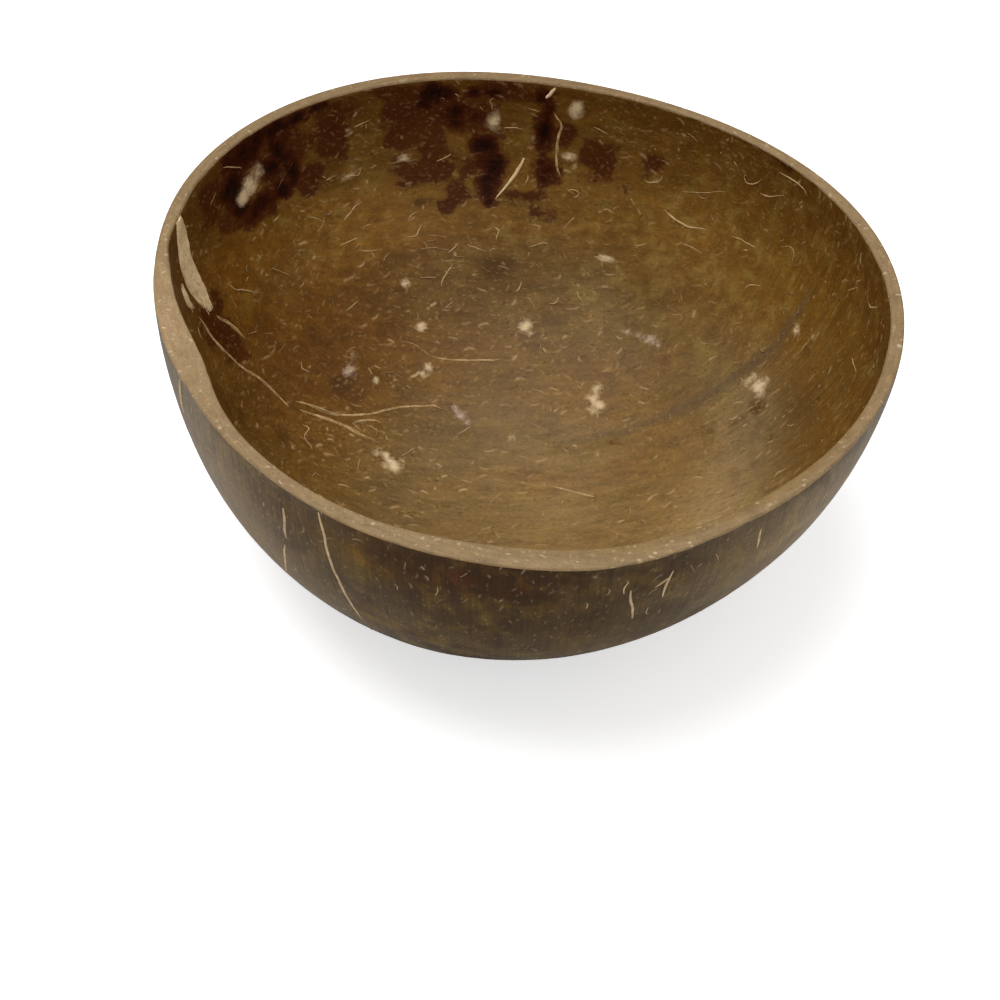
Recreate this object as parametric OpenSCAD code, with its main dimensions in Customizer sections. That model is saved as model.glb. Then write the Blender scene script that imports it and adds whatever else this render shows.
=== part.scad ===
// Coconut shell bowl: half of a coconut's hard shell, ground flat at the rim and
// underneath, with the husk fibres that grew into its wall.
// Millimetres. +Z is up, and the origin is on the ground underside.
// A place on the wall is an azimuth, counter-clockwise from +X seen from above,
// and a latitude, 0 at the bottom and about 85 at the rim.

/* [Bowl] */
// Height from the ground underside to the flat of the rim
bowl_h = 59; // [50:0.5:66]
// Mean radius of the outside at the rim
shell_r = 69; // [62:0.5:76]
// How far above the rim the whole coconut was widest
girth_rise = 6.8; // [3:0.1:10]
// Depth of shell that was ground off underneath
ground_off = 3.2; // [2:0.1:5]
// Thickness of the floor at its lowest point
floor_t = 2.8; // [2:0.1:5]
// Radius of the rounded edges of the rim
rim_edge = 0.5; // [0.3:0.05:0.8]

/* [Roundness] */
// How much longer than round the rim is, each way
rim_oval = 3.4; // [0:0.1:5]
// How much the coconut's three ribs push the rim out
rim_lobe = 1.6; // [0:0.1:3]
// How far the rim bulges at the front right
rim_bulge = 1.6; // [0:0.1:3]
// How far the rim is drawn in at the left seam
rim_dent = 0.55; // [0:0.05:1.5]
// How far the underside lies to the left of the rim's middle
lean_left = 5.1; // [0:0.1:8]
// How far the underside lies in front of the rim's middle
lean_front = 1.7; // [0:0.1:5]

/* [Wall] */
// Thickness of the wall where nothing thickens it
wall_t = 2.5; // [2.3:0.1:4]
// Extra thickness in the middle of the thick front
front_swell = 2.4; // [0:0.1:4]
// Extra thickness at the ridge beside the left seam
ridge_swell = 3.05; // [0:0.1:5]
// Missing thickness at the back, where the wall is thinnest
back_thin = 0.5; // [0:0.05:0.7]
// Depth of the furrow that follows the left seam
furrow_depth = 0.8; // [0:0.05:1]

/* [Fibres] */
// Width of the pale husk strip in the left seam
strip_w = 5.2; // [3:0.1:6]
// Width of the shred beside the strip's lower end
shred_w = 1.4; // [0.6:0.1:2]
// Width of the threads that run over the inside
thread_w = 0.7; // [0.4:0.05:1]
// Width of the bristles on the outside
bristle_w = 0.6; // [0.4:0.05:1]
// Depth of a fibre's bed in the wall
bed_depth = 0.5; // [0.3:0.05:0.8]
// How far a fibre stands out of the wall
fibre_rise = 0.15; // [0.1:0.01:0.4]

/* [Hidden] */

// Steps round the shell, and from its middle to its rim
round_steps = 90;
wall_steps = 16;
// Middle of the rim, seen from the middle of the bowl's box
rim_x = -0.86;
rim_y = 1.44;
// Exponent of the rounded section: 2 is an ellipse, more is squarer
fullness = 2.22;
// Length by which a cutting solid runs past what it cuts
overrun = 2;
// Height of the solid that grinds the underside flat, as a share of the bowl's
grind_share = 0.5;

// Where the oval is longest and where one of the three ribs lies
oval_at = -38;
lobe_at = 17;
// Places and spreads of the bulge and the dent in the rim
bulge_at = 283;
bulge_spread = 15;
dent_at = 169;
dent_spread = 13;
// Share of the rim's uneven outline that is gone at the underside
settle_share = 0.52;
// How the lean grows from the rim to the underside, and how fast the bulge and the dent fade
lean_power = 1.5;
bulge_power = 2;

// Places and spreads of the thick and thin stretches of wall
front_at = 275;
front_spread = 30;
ridge_at = 194.5;
ridge_spread = 17.5;
ridge_front_spread = 13.5;
back_at = 65;
back_spread = 28;
furrow_at = 167;
furrow_spread = 5;
// How fast the ridge and the furrow fade from the rim down
ridge_power = 3;
furrow_power = 6;

// Small angle for the slopes of the wall's surface
probe_angle = 0.5;
// Steps between two chosen points of a fibre's route
route_steps = 2;
// Depth share of a bed's shoulder, where its sides turn in
shoulder_share = 0.35;
// Width share left at the top of a fibre
crown_share = 0.8;

shell_colour = [0.40, 0.29, 0.17];
husk_colour = [0.80, 0.70, 0.50];
thread_colour = [0.66, 0.54, 0.36];
bristle_colour = [0.72, 0.62, 0.47];

// Routes of the fibres, as shares: of the way round, of the way from the middle up to the girth,
// and of the fibre's full width
strip_shares = [[0.4478, 0.938, 0.45], [0.4481, 0.917, 0.75], [0.4486, 0.889, 0.88], [0.45, 0.856, 1],
                [0.45, 0.828, 1], [0.4486, 0.8, 1], [0.4472, 0.77, 0.8], [0.4458, 0.743, 0.5],
                [0.445, 0.726, 0.2]];
shred_shares = [[0.4611, 0.828, 0.3], [0.4611, 0.809, 1], [0.4611, 0.791, 0.8], [0.4597, 0.772, 0.2]];
seam_shares = [[0.4583, 0.756, 0.4], [0.4561, 0.722, 0.8], [0.455, 0.683, 1], [0.4528, 0.639, 1],
               [0.4494, 0.583, 1], [0.4439, 0.533, 1], [0.4417, 0.489, 1], [0.4417, 0.439, 0.3]];
upper_shares = [[0.4439, 0.706, 0.3], [0.4417, 0.686, 0.9], [0.4367, 0.657, 1], [0.4339, 0.629, 1],
                [0.4322, 0.596, 0.3]];
tail_shares = [[0.4375, 0.417, 0.3], [0.4319, 0.383, 1], [0.4236, 0.344, 1], [0.4194, 0.319, 1],
               [0.4153, 0.287, 0.8], [0.4083, 0.256, 0.3]];
floor_shares = [[0.4342, 0.431, 0.3], [0.4278, 0.403, 0.9], [0.4181, 0.356, 1], [0.4083, 0.329, 1],
                [0.3986, 0.311, 0.9], [0.3875, 0.296, 0.8], [0.375, 0.288, 0.9], [0.3542, 0.274, 1],
                [0.3375, 0.261, 1], [0.3236, 0.253, 0.8], [0.3153, 0.237, 0.3]];
back_floor_shares = [[0.3361, 0.411, 0.3], [0.3222, 0.394, 0.9], [0.3111, 0.361, 1],
                     [0.2944, 0.344, 1], [0.2722, 0.339, 1], [0.2556, 0.339, 0.8], [0.2444, 0.35, 0.3]];
back_rim_shares = [[0.2319, 0.939, 0.6], [0.2333, 0.931, 1], [0.2361, 0.917, 1], [0.2372, 0.91, 0.3]];
back_seam_shares = [[0.2339, 0.897, 0.3], [0.2311, 0.878, 0.9], [0.2278, 0.859, 1], [0.2289, 0.833, 1],
                    [0.2292, 0.807, 1], [0.2281, 0.772, 0.9], [0.2236, 0.736, 0.3]];
spike_shares = [[0.2458, 0.778, 0.3], [0.2486, 0.75, 1], [0.2528, 0.722, 0.8], [0.2597, 0.683, 0.2]];
right_shares = [[0.1653, 0.733, 0.3], [0.1583, 0.722, 1], [0.1472, 0.717, 1], [0.1361, 0.728, 0.3]];
front_floor_shares = [[0.1111, 0.089, 0.3], [0.0667, 0.117, 0.9], [0.0389, 0.139, 1],
                      [0.0222, 0.161, 0.3]];
ridge_bristle_shares = [[0.5542, 0.944, 0.3], [0.5528, 0.922, 1], [0.5514, 0.889, 1],
                        [0.55, 0.856, 0.3]];
left_bristle_shares = [[0.6389, 0.903, 0.6], [0.6389, 0.878, 1], [0.6378, 0.848, 1],
                       [0.6375, 0.823, 0.5]];
left_lower_bristle_shares = [[0.6364, 0.81, 0.5], [0.6339, 0.772, 1], [0.6306, 0.723, 0.9],
                             [0.6236, 0.65, 0.3]];
front_bristle_shares = [[0.6597, 0.944, 0.5], [0.6619, 0.9, 1], [0.6639, 0.844, 1], [0.6675, 0.778, 1],
                        [0.6717, 0.7, 0.9], [0.675, 0.622, 0.3]];
fork_shares = [[0.8119, 0.898, 0.4], [0.8111, 0.872, 1], [0.8106, 0.85, 1], [0.8097, 0.821, 0.3]];
fork_tine_shares = [[0.8114, 0.881, 0.5], [0.8083, 0.87, 0.9], [0.805, 0.861, 0.3]];
lower_bristle_shares = [[0.7944, 0.867, 0.3], [0.7956, 0.844, 1], [0.7972, 0.819, 1],
                        [0.7983, 0.798, 0.9], [0.8, 0.773, 0.3]];
right_bristle_shares = [[0.8514, 0.917, 0.3], [0.8517, 0.896, 1], [0.8522, 0.878, 0.9],
                        [0.8528, 0.859, 0.3]];

// The surface of the wall

function turn(a) = a - 360 * floor((a + 180) / 360);
function bump(az, at, spread) = exp(-pow(turn(az - at) / spread, 2));

// Share of the way down from the rim to the underside
function down(z) = max(0, 1 - z / bowl_h);

// Distance of the outer skin from the middle at the girth, before the section's own curve
function outline_r(az, t) = shell_r
    + (1 - settle_share * t)
        * (rim_oval * cos(2 * (az - oval_at)) + rim_lobe * cos(3 * (az - lobe_at)))
    + pow(max(0, 1 - t), bulge_power)
        * (rim_bulge * bump(az, bulge_at, bulge_spread) - rim_dent * bump(az, dent_at, dent_spread));

// The ridge falls off faster towards the front
function ridge(az) =
    bump(az, ridge_at, turn(az - ridge_at) < 0 ? ridge_spread : ridge_front_spread);

function wall(az, lat) = wall_t
    + front_swell * bump(az, front_at, front_spread)
    - back_thin * bump(az, back_at, back_spread)
    + ridge_swell * ridge(az) * pow(sin(lat), ridge_power)
    - furrow_depth * bump(az, furrow_at, furrow_spread) * pow(sin(lat), furrow_power);

// Depth of a skin's own pole under the coconut's widest girth
function pole_depth(inside) = bowl_h + girth_rise + (inside ? -floor_t : ground_off);

function skin_point(az, lat, inside) =
    let (power = 2 / fullness,
         z = bowl_h + girth_rise - pole_depth(inside) * pow(cos(lat), power),
         t = down(z),
         lean = pow(t, lean_power),
         r = (outline_r(az, t) - (inside ? wall(az, lat) : 0)) * pow(sin(lat), power))
    [rim_x - lean_left * lean + r * cos(az), rim_y - lean_front * lean + r * sin(az), z];

// Latitude at which a skin reaches a depth below the rim
function rim_lat(inside, depth = 0) =
    acos(pow((girth_rise + depth) / pole_depth(inside), fullness / 2));

function unit(v) = v / norm(v);

// Direction out of the wall's material
function skin_normal(az, lat, inside) =
    (inside ? 1 : -1) * unit(cross(
        skin_point(az, lat + probe_angle, inside) - skin_point(az, lat - probe_angle, inside),
        skin_point(az + probe_angle, lat, inside) - skin_point(az - probe_angle, lat, inside)));

// The shell is one loft: up the outside, over the rim and down the inside

function ring(lat, inside) =
    [for (i = [0:round_steps - 1]) skin_point(i * 360 / round_steps, lat, inside)];

// A ring on the rim: a step in from one skin towards the other, and a step down
function rim_ring(inside, step_in, step_down) =
    [for (i = [0:round_steps - 1])
        let (az = i * 360 / round_steps,
             edge = skin_point(az, rim_lat(inside), inside),
             over = skin_point(az, rim_lat(!inside), !inside))
        edge + unit(over - edge) * step_in - [0, 0, step_down]];

module loft(rings, low_pole, high_pole) {
    n = len(rings[0]);
    m = len(rings);
    points = concat([low_pole], [for (r = rings) each r], [high_pole]);
    faces = concat(
        [for (i = [0:n - 1]) [0, 1 + (i + 1) % n, 1 + i]],
        [for (k = [0:m - 2], i = [0:n - 1])
            [1 + k * n + i, 1 + k * n + (i + 1) % n, 1 + (k + 1) * n + (i + 1) % n]],
        [for (k = [0:m - 2], i = [0:n - 1])
            [1 + k * n + i, 1 + (k + 1) * n + (i + 1) % n, 1 + (k + 1) * n + i]],
        [for (i = [0:n - 1]) [1 + m * n, 1 + (m - 1) * n + i, 1 + (m - 1) * n + (i + 1) % n]]);
    polyhedron(points, [for (f = faces) [f[2], f[1], f[0]]], convexity = 4);
}

module raw_shell() {
    top_out = rim_lat(false, rim_edge);
    top_in = rim_lat(true, rim_edge);
    bevel = rim_edge * (1 - cos(45));
    rings = concat(
        [for (k = [1:wall_steps]) ring(top_out * k / wall_steps, false)],
        [rim_ring(false, bevel, bevel), rim_ring(false, rim_edge, 0),
         rim_ring(true, rim_edge, 0), rim_ring(true, bevel, bevel)],
        [for (k = [wall_steps:-1:1]) ring(top_in * k / wall_steps, true)]);
    loft(rings, skin_point(0, 0, false), skin_point(0, 0, true));
}

// A fibre lies along a route on one skin, in a bed of its own shape

// Smooth curve through the chosen points
function curve_point(route, k, s) =
    let (last = len(route) - 1,
         p0 = route[max(k - 1, 0)], p1 = route[k],
         p2 = route[min(k + 1, last)], p3 = route[min(k + 2, last)])
    (2 * p1 + (p2 - p0) * s + (2 * p0 - 5 * p1 + 4 * p2 - p3) * s * s
        + (3 * p1 - p0 - 3 * p2 + p3) * s * s * s) / 2;

function curve(route) = concat(
    [for (k = [0:len(route) - 2], j = [0:route_steps - 1])
        curve_point(route, k, j / route_steps)],
    [route[len(route) - 1]]);

// Sections of a fibre: bed, shoulders and crown, and for its bed a lid above them
function fibre_sections(route, width, inside, lid) =
    let (path = [for (p = curve(route)) [360 * p[0], 90 * p[1], p[2]]],
         places = [for (p = path) skin_point(p[0], p[1], inside)],
         last = len(path) - 1)
    [for (k = [0:last])
        let (p = path[k],
             out = skin_normal(p[0], p[1], inside),
             along = unit(places[min(k + 1, last)] - places[max(k - 1, 0)]),
             side = unit(cross(out, along)) * width * p[2] / 2,
             base = places[k],
             low = base - out * bed_depth * shoulder_share,
             high = base + out * fibre_rise,
             far = base + out * (fibre_rise + overrun))
        concat(
            [base - out * bed_depth, low + side, high + side * crown_share],
            lid ? [far + side * crown_share, far - side * crown_share] : [],
            [high - side * crown_share, low - side])];

module fibre_solid(route, width, inside, lid = false) {
    sections = fibre_sections(route, width, inside, lid);
    n = len(sections[0]);
    m = len(sections);
    faces = concat(
        [for (i = [1:n - 2]) [0, i, i + 1]],
        [for (k = [0:m - 2], i = [0:n - 1])
            [k * n + i, (k + 1) * n + i, (k + 1) * n + (i + 1) % n]],
        [for (k = [0:m - 2], i = [0:n - 1])
            [k * n + i, (k + 1) * n + (i + 1) % n, k * n + (i + 1) % n]],
        [for (i = [1:n - 2]) [(m - 1) * n, (m - 1) * n + i + 1, (m - 1) * n + i]]);
    polyhedron([for (s = sections) each s], faces, convexity = 6);
}

// The room that a fibre takes in the wall, open to the air above it
module bed(route, width, inside) {
    fibre_solid(route, width, inside, lid = true);
}

module beds() {
    bed(strip_shares, strip_w, true);
    bed(shred_shares, shred_w, true);
    bed(seam_shares, thread_w, true);
    bed(upper_shares, thread_w, true);
    bed(tail_shares, thread_w, true);
    bed(floor_shares, thread_w, true);
    bed(back_floor_shares, thread_w, true);
    bed(back_rim_shares, thread_w, true);
    bed(back_seam_shares, thread_w, true);
    bed(spike_shares, thread_w, true);
    bed(right_shares, thread_w, true);
    bed(front_floor_shares, thread_w, true);
    bed(ridge_bristle_shares, bristle_w, false);
    bed(left_bristle_shares, bristle_w, false);
    bed(left_lower_bristle_shares, bristle_w, false);
    bed(front_bristle_shares, bristle_w, false);
    bed(fork_shares, bristle_w, false);
    bed(fork_tine_shares, bristle_w, false);
    bed(lower_bristle_shares, bristle_w, false);
    bed(right_bristle_shares, bristle_w, false);
}

module shell() {
    reach = 2 * shell_r;
    grind_h = bowl_h * grind_share;
    color(shell_colour) difference() {
        raw_shell();
        translate([-reach, -reach, -grind_h]) cube([2 * reach, 2 * reach, grind_h]);
        beds();
    }
}

module seam_strip() {
    color(husk_colour) fibre_solid(strip_shares, strip_w, true);
}

module seam_shred() {
    color(husk_colour) fibre_solid(shred_shares, shred_w, true);
}

module seam_thread() {
    color(thread_colour) fibre_solid(seam_shares, thread_w, true);
}

module seam_upper_thread() {
    color(thread_colour) fibre_solid(upper_shares, thread_w, true);
}

module seam_tail_thread() {
    color(thread_colour) fibre_solid(tail_shares, thread_w, true);
}

module floor_thread() {
    color(thread_colour) fibre_solid(floor_shares, thread_w, true);
}

module back_floor_thread() {
    color(thread_colour) fibre_solid(back_floor_shares, thread_w, true);
}

module back_rim_thread() {
    color(thread_colour) fibre_solid(back_rim_shares, thread_w, true);
}

module back_seam_thread() {
    color(thread_colour) fibre_solid(back_seam_shares, thread_w, true);
}

module back_spike() {
    color(husk_colour) fibre_solid(spike_shares, thread_w, true);
}

module right_thread() {
    color(thread_colour) fibre_solid(right_shares, thread_w, true);
}

module front_floor_thread() {
    color(thread_colour) fibre_solid(front_floor_shares, thread_w, true);
}

module ridge_bristle() {
    color(bristle_colour) fibre_solid(ridge_bristle_shares, bristle_w, false);
}

module left_bristle() {
    color(bristle_colour) fibre_solid(left_bristle_shares, bristle_w, false);
}

module left_lower_bristle() {
    color(bristle_colour) fibre_solid(left_lower_bristle_shares, bristle_w, false);
}

module front_bristle() {
    color(bristle_colour) fibre_solid(front_bristle_shares, bristle_w, false);
}

module forked_bristle() {
    color(bristle_colour) union() {
        fibre_solid(fork_shares, bristle_w, false);
        fibre_solid(fork_tine_shares, bristle_w, false);
    }
}

module lower_bristle() {
    color(bristle_colour) fibre_solid(lower_bristle_shares, bristle_w, false);
}

module right_bristle() {
    color(bristle_colour) fibre_solid(right_bristle_shares, bristle_w, false);
}

shell();
seam_strip();
seam_shred();
seam_thread();
seam_upper_thread();
seam_tail_thread();
floor_thread();
back_floor_thread();
back_rim_thread();
back_seam_thread();
back_spike();
right_thread();
front_floor_thread();
ridge_bristle();
left_bristle();
left_lower_bristle();
front_bristle();
forked_bristle();
lower_bristle();
right_bristle();
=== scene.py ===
import math
import random

import bpy
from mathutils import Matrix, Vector, noise


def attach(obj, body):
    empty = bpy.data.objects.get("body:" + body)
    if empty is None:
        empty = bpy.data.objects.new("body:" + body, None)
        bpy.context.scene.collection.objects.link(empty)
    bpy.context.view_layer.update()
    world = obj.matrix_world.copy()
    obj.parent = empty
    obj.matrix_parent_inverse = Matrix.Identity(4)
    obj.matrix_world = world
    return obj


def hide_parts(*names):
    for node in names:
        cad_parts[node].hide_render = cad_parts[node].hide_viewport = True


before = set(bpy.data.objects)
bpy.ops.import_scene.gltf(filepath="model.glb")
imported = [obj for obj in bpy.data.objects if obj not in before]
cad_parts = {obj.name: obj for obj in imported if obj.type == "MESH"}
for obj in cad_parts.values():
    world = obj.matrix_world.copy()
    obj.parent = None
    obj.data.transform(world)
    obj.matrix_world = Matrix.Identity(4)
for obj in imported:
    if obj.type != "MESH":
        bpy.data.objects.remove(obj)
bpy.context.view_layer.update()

mm = 0.001
# Without a seed, noise_vector would give other offsets in each run
noise.seed_set(4)
print("coconut bowl: frame loaded")

# Camera of the photograph, fitted to the bowl's outline and rim: metres, degrees and millimetres of lens
photoCamera = {
    "place": (-0.00489, -0.45131, 0.46036), "tilt": 44.83, "lens": 117.1, "sensor": 36.0, "near": 0.01,
}


def addCamera():
    tilt = math.radians(photoCamera["tilt"])
    bpy.ops.object.camera_add(location=photoCamera["place"], rotation=(tilt, 0, 0))
    camera = bpy.context.object
    camera.name = "photoView"
    camera.data.lens = photoCamera["lens"]
    camera.data.sensor_width = photoCamera["sensor"]
    camera.data.clip_start = photoCamera["near"]
    bpy.context.scene.camera = camera


addCamera()

# The shell's form, with the values of the CAD part: lengths in millimetres, angles in degrees.
# A swelling has a height, an azimuth in its middle and a spread round it.
bowl = {
    "height": 59.0, "radius": 69.0, "girthRise": 6.8, "groundOff": 3.2, "floor": 2.8, "rimEdge": 0.5,
    "oval": 3.4, "ovalAt": -38, "lobe": 1.6, "lobeAt": 17, "settle": 0.52,
    "leanLeft": 5.1, "leanFront": 1.7, "leanPower": 1.5, "rimX": -0.86, "rimY": 1.44, "fullness": 2.22,
    "bulge": (1.6, 283, 15), "dent": (0.55, 169, 13), "bulgePower": 2, "wall": 2.5,
    "front": (2.4, 275, 30), "back": (0.5, 65, 28), "furrow": (0.8, 167, 5), "furrowPower": 6,
    "ridge": (3.05, 194.5, 17.5), "ridgeFront": (3.05, 194.5, 13.5), "ridgePower": 3,
}
power = 2 / bowl["fullness"]
girthHeight = bowl["height"] + bowl["girthRise"]
poleDepth = {True: girthHeight - bowl["floor"], False: girthHeight + bowl["groundOff"]}


def turnFrom(azimuth, at):
    return (azimuth - at + 180) % 360 - 180


def bump(azimuth, at, spread):
    return math.exp(-((turnFrom(azimuth, at) / spread) ** 2))


def swelling(name, azimuth):
    height, at, spread = bowl[name]
    return height * bump(azimuth, at, spread)


# Share from 0 to 1 of the way between two values
def between(value, low, high):
    return min(max((value - low) / (high - low), 0), 1)


def wallAt(azimuth, latitude):
    high = math.sin(math.radians(latitude))
    ridge = "ridge" if turnFrom(azimuth, bowl["ridge"][1]) < 0 else "ridgeFront"
    wall = bowl["wall"] + swelling("front", azimuth) - swelling("back", azimuth)
    wall += swelling(ridge, azimuth) * high ** bowl["ridgePower"]
    return wall - swelling("furrow", azimuth) * high ** bowl["furrowPower"]


# A point of the inner or outer skin, in millimetres
def skinPoint(azimuth, latitude, inside):
    around = math.radians(azimuth)
    up = math.radians(latitude)
    z = girthHeight - poleDepth[inside] * max(math.cos(up), 0) ** power
    down = max(0.0, 1 - z / bowl["height"])
    lean = down ** bowl["leanPower"]
    radius = bowl["radius"] + (1 - bowl["settle"] * down) * (
        bowl["oval"] * math.cos(2 * (around - math.radians(bowl["ovalAt"])))
        + bowl["lobe"] * math.cos(3 * (around - math.radians(bowl["lobeAt"])))
    )
    radius += (1 - down) ** bowl["bulgePower"] * (swelling("bulge", azimuth) - swelling("dent", azimuth))
    if inside:
        radius -= wallAt(azimuth, latitude)
    radius *= max(math.sin(up), 0) ** power
    x = bowl["rimX"] - bowl["leanLeft"] * lean + radius * math.cos(around)
    y = bowl["rimY"] - bowl["leanFront"] * lean + radius * math.sin(around)
    return Vector((x, y, z))


# Directions up the wall and along it, and out of its material
def skinFrame(azimuth, latitude, inside, probe=0.4):
    up = skinPoint(azimuth, latitude + probe, inside) - skinPoint(azimuth, latitude - probe, inside)
    along = skinPoint(azimuth + probe, latitude, inside) - skinPoint(azimuth - probe, latitude, inside)
    out = up.cross(along).normalized()
    return up.normalized(), along.normalized(), out if inside else -out


def latitudeAtHeight(z, inside):
    return math.degrees(math.acos(((girthHeight - z) / poleDepth[inside]) ** (1 / power)))


# Millimetres of a step of one degree, along the wall and up it
def degreeSize(azimuth, latitude, inside, least=0.05):
    here = skinPoint(azimuth, latitude, inside)
    steps = skinPoint(azimuth + 1, latitude, inside), skinPoint(azimuth, latitude + 1, inside)
    return [max((step - here).length, least) for step in steps]


# Shader helpers
# A value in a shader tree. Sums and products of wires add their own nodes.
class Wire:
    def __init__(self, tree, socket):
        self.tree = tree
        self.socket = socket

    def math(self, operation, *others):
        node = addNode(self.tree, "Math", dict(enumerate((self, *others))), operation=operation)
        return Wire(self.tree, node.outputs[0])

    def vector(self, operation, other=None):
        second = "Scale" if operation == "SCALE" else 1
        node = addNode(self.tree, "VectorMath", {0: self, second: other}, operation=operation)
        return Wire(self.tree, node.outputs["Value" if operation == "DOT_PRODUCT" else "Vector"])

    def split(self):
        return [Wire(self.tree, socket) for socket in addNode(self.tree, "SeparateColor", {0: self}).outputs]

    def __add__(self, other):
        return self.math("ADD", other)

    def __sub__(self, other):
        return self.math("SUBTRACT", other)

    def __mul__(self, other):
        return self.math("MULTIPLY", other)


def feed(socket, value):
    if isinstance(value, Wire):
        value.tree.links.new(value.socket, socket)
    elif value is not None:
        socket.default_value = value


def addNode(tree, kind, inputs=None, **settings):
    node = tree.nodes.new("ShaderNode" + kind)
    for name, value in settings.items():
        setattr(node, name, value)
    for key, value in (inputs or {}).items():
        feed(node.inputs[key], value)
    return node


def ramp(value, low, high, start=0.0, end=1.0):
    inputs = {"Value": value, "From Min": low, "From Max": high, "To Min": start, "To Max": end}
    node = addNode(value.tree, "MapRange", inputs, interpolation_type="SMOOTHSTEP")
    return Wire(value.tree, node.outputs["Result"])


def mixColour(share, first, second, blend="MIX"):
    tree = (share if isinstance(share, Wire) else first).tree
    node = addNode(tree, "Mix", {"Factor": share}, data_type="RGBA", blend_type=blend)
    colours = [socket for socket in node.inputs if socket.type == "RGBA"]
    for socket, value in zip(colours, (first, second)):
        feed(socket, value if isinstance(value, Wire) else (*value, 1))
    return Wire(tree, [socket for socket in node.outputs if socket.type == "RGBA"][0])


def mixNumber(share, first, second):
    return Wire(share.tree, addNode(share.tree, "Mix", {0: share, 2: first, 3: second}).outputs[0])


def noiseOf(point, scale, detail=2.0, roughness=0.5, distortion=0.0):
    inputs = {"Scale": scale, "Detail": detail, "Roughness": roughness, "Distortion": distortion}
    node = addNode(point.tree, "TexNoise", {"Vector": point, **inputs})
    return Wire(point.tree, node.outputs["Fac"])


def attribute(tree, name, output="Color"):
    return Wire(tree, addNode(tree, "Attribute", attribute_name=name).outputs[output])


# A group takes numbers, with the values given here, and vectors, which have none, and it gives numbers
def newGroup(name, given, results):
    tree = bpy.data.node_groups.new(name, "ShaderNodeTree")
    for label, value in given.items():
        kind = "NodeSocketVector" if value is None else "NodeSocketFloat"
        socket = tree.interface.new_socket(label, in_out="INPUT", socket_type=kind)
        if value is not None:
            socket.default_value = value
    for label in results:
        tree.interface.new_socket(label, in_out="OUTPUT", socket_type="NodeSocketFloat")
    sockets = tree.nodes.new("NodeGroupInput").outputs
    wires = {label: Wire(tree, sockets[label]) for label in given}
    return tree, wires, tree.nodes.new("NodeGroupOutput").inputs


def useGroup(group, **inputs):
    tree = inputs["Point"].tree
    return [Wire(tree, socket) for socket in addNode(tree, "Group", inputs, node_tree=group).outputs]


# Short curled fibres, one in each cell of a loose packing, laid flat on the surface
def makeFleckGroup():
    numbers = {"Cells": 500.0, "Length": 0.45, "Width": 0.05, "Curl": 0.8, "Share": 0.8}
    tree, given, result = newGroup(
        "curledFibres", {"Point": None, "Facing": None, **numbers, "Lay": None}, ["Mask", "Shade"])
    point = given["Point"].vector("SCALE", given["Cells"])
    cells = addNode(tree, "TexVoronoi", {"Scale": 1.0, "Vector": point})
    draw = Wire(tree, cells.outputs["Color"])
    first, second, third = draw.split()
    facing = given["Facing"]
    # what lies above the surface is taken off, so that each fibre is flat
    offset = point.vector("SUBTRACT", Wire(tree, cells.outputs["Position"]))
    flat = offset.vector("SUBTRACT", facing.vector("SCALE", offset.vector("DOT_PRODUCT", facing)))
    aim = draw.vector("SUBTRACT", (0.5, 0.5, 0.5)).vector("ADD", given["Lay"])
    heading = facing.vector("CROSS_PRODUCT", aim.vector("CROSS_PRODUCT", facing)).vector("NORMALIZE")
    along = flat.vector("DOT_PRODUCT", heading)
    across = flat.vector("DOT_PRODUCT", facing.vector("CROSS_PRODUCT", heading))
    run = along.math("ABSOLUTE")
    bow = (third - 0.5) * given["Curl"] * run.math("POWER", 2.0)
    width = given["Width"] * (second * 0.9 + 0.5)
    thin = ramp((across - bow).math("ABSOLUTE"), width * 0.1, width, 1.0, 0.0)
    length = given["Length"] * (first * 0.8 + 0.35)
    short = ramp(run, length * 0.3, length, 1.0, 0.0)
    chosen = given["Share"].math("GREATER_THAN", (first * 7.3).math("FRACT"))
    feed(result["Mask"], thin * short * chosen)
    feed(result["Shade"], (second * 5.7).math("FRACT"))
    return tree


# Streaks that run down the wall from the rim, as the shell's own grain does
def makeGrainGroup():
    given = {"Point": None, "Around": 150.0, "Down": 120.0}
    tree, given, result = newGroup("wallGrain", given, ["Grain", "Broad"])
    point = given["Point"]
    spoke = point.vector("MULTIPLY", (1, 1, 0)).vector("ADD", (0.005, 0, 0)).vector("NORMALIZE")
    drop = point.vector("MULTIPLY", (0, 0, 1)).vector("SCALE", given["Down"])
    fine = spoke.vector("SCALE", given["Around"]).vector("ADD", drop)
    feed(result["Grain"], noiseOf(fine, 1.0, 2.0, 0.6))
    feed(result["Broad"], noiseOf(fine.vector("SCALE", 0.22), 1.0, 2.0, 0.55))
    return tree


# Cloudy patches at three sizes
def makeMottleGroup():
    tree, given, result = newGroup("shellMottle", {"Point": None, "Size": 1.0}, ["Cloud", "Patch", "Speck"])
    point = given["Point"].vector("SCALE", given["Size"])
    feed(result["Cloud"], noiseOf(point, 45.0, 3.0, 0.55, 0.6))
    feed(result["Patch"], noiseOf(point, 240.0, 4.0, 0.6, 0.4))
    feed(result["Speck"], noiseOf(point, 1500.0, 2.0, 0.6))
    return tree


fleckGroup = makeFleckGroup()
grainGroup = makeGrainGroup()
mottleGroup = makeMottleGroup()
print("shader groups built")


# A finish starts with its Principled shader and the object's own coordinates
def newFinish(name, roughness, coat=0.0, coatRoughness=0.3, specular=0.2):
    finish = bpy.data.materials.new(name)
    finish.use_nodes = True
    tree = finish.node_tree
    shader = tree.nodes["Principled BSDF"]
    shader.inputs["Roughness"].default_value = roughness
    shader.inputs["Coat Weight"].default_value = coat
    shader.inputs["Coat Roughness"].default_value = coatRoughness
    shader.inputs["Specular IOR Level"].default_value = specular
    return finish, shader, Wire(tree, addNode(tree, "TexCoord").outputs["Object"])


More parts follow.
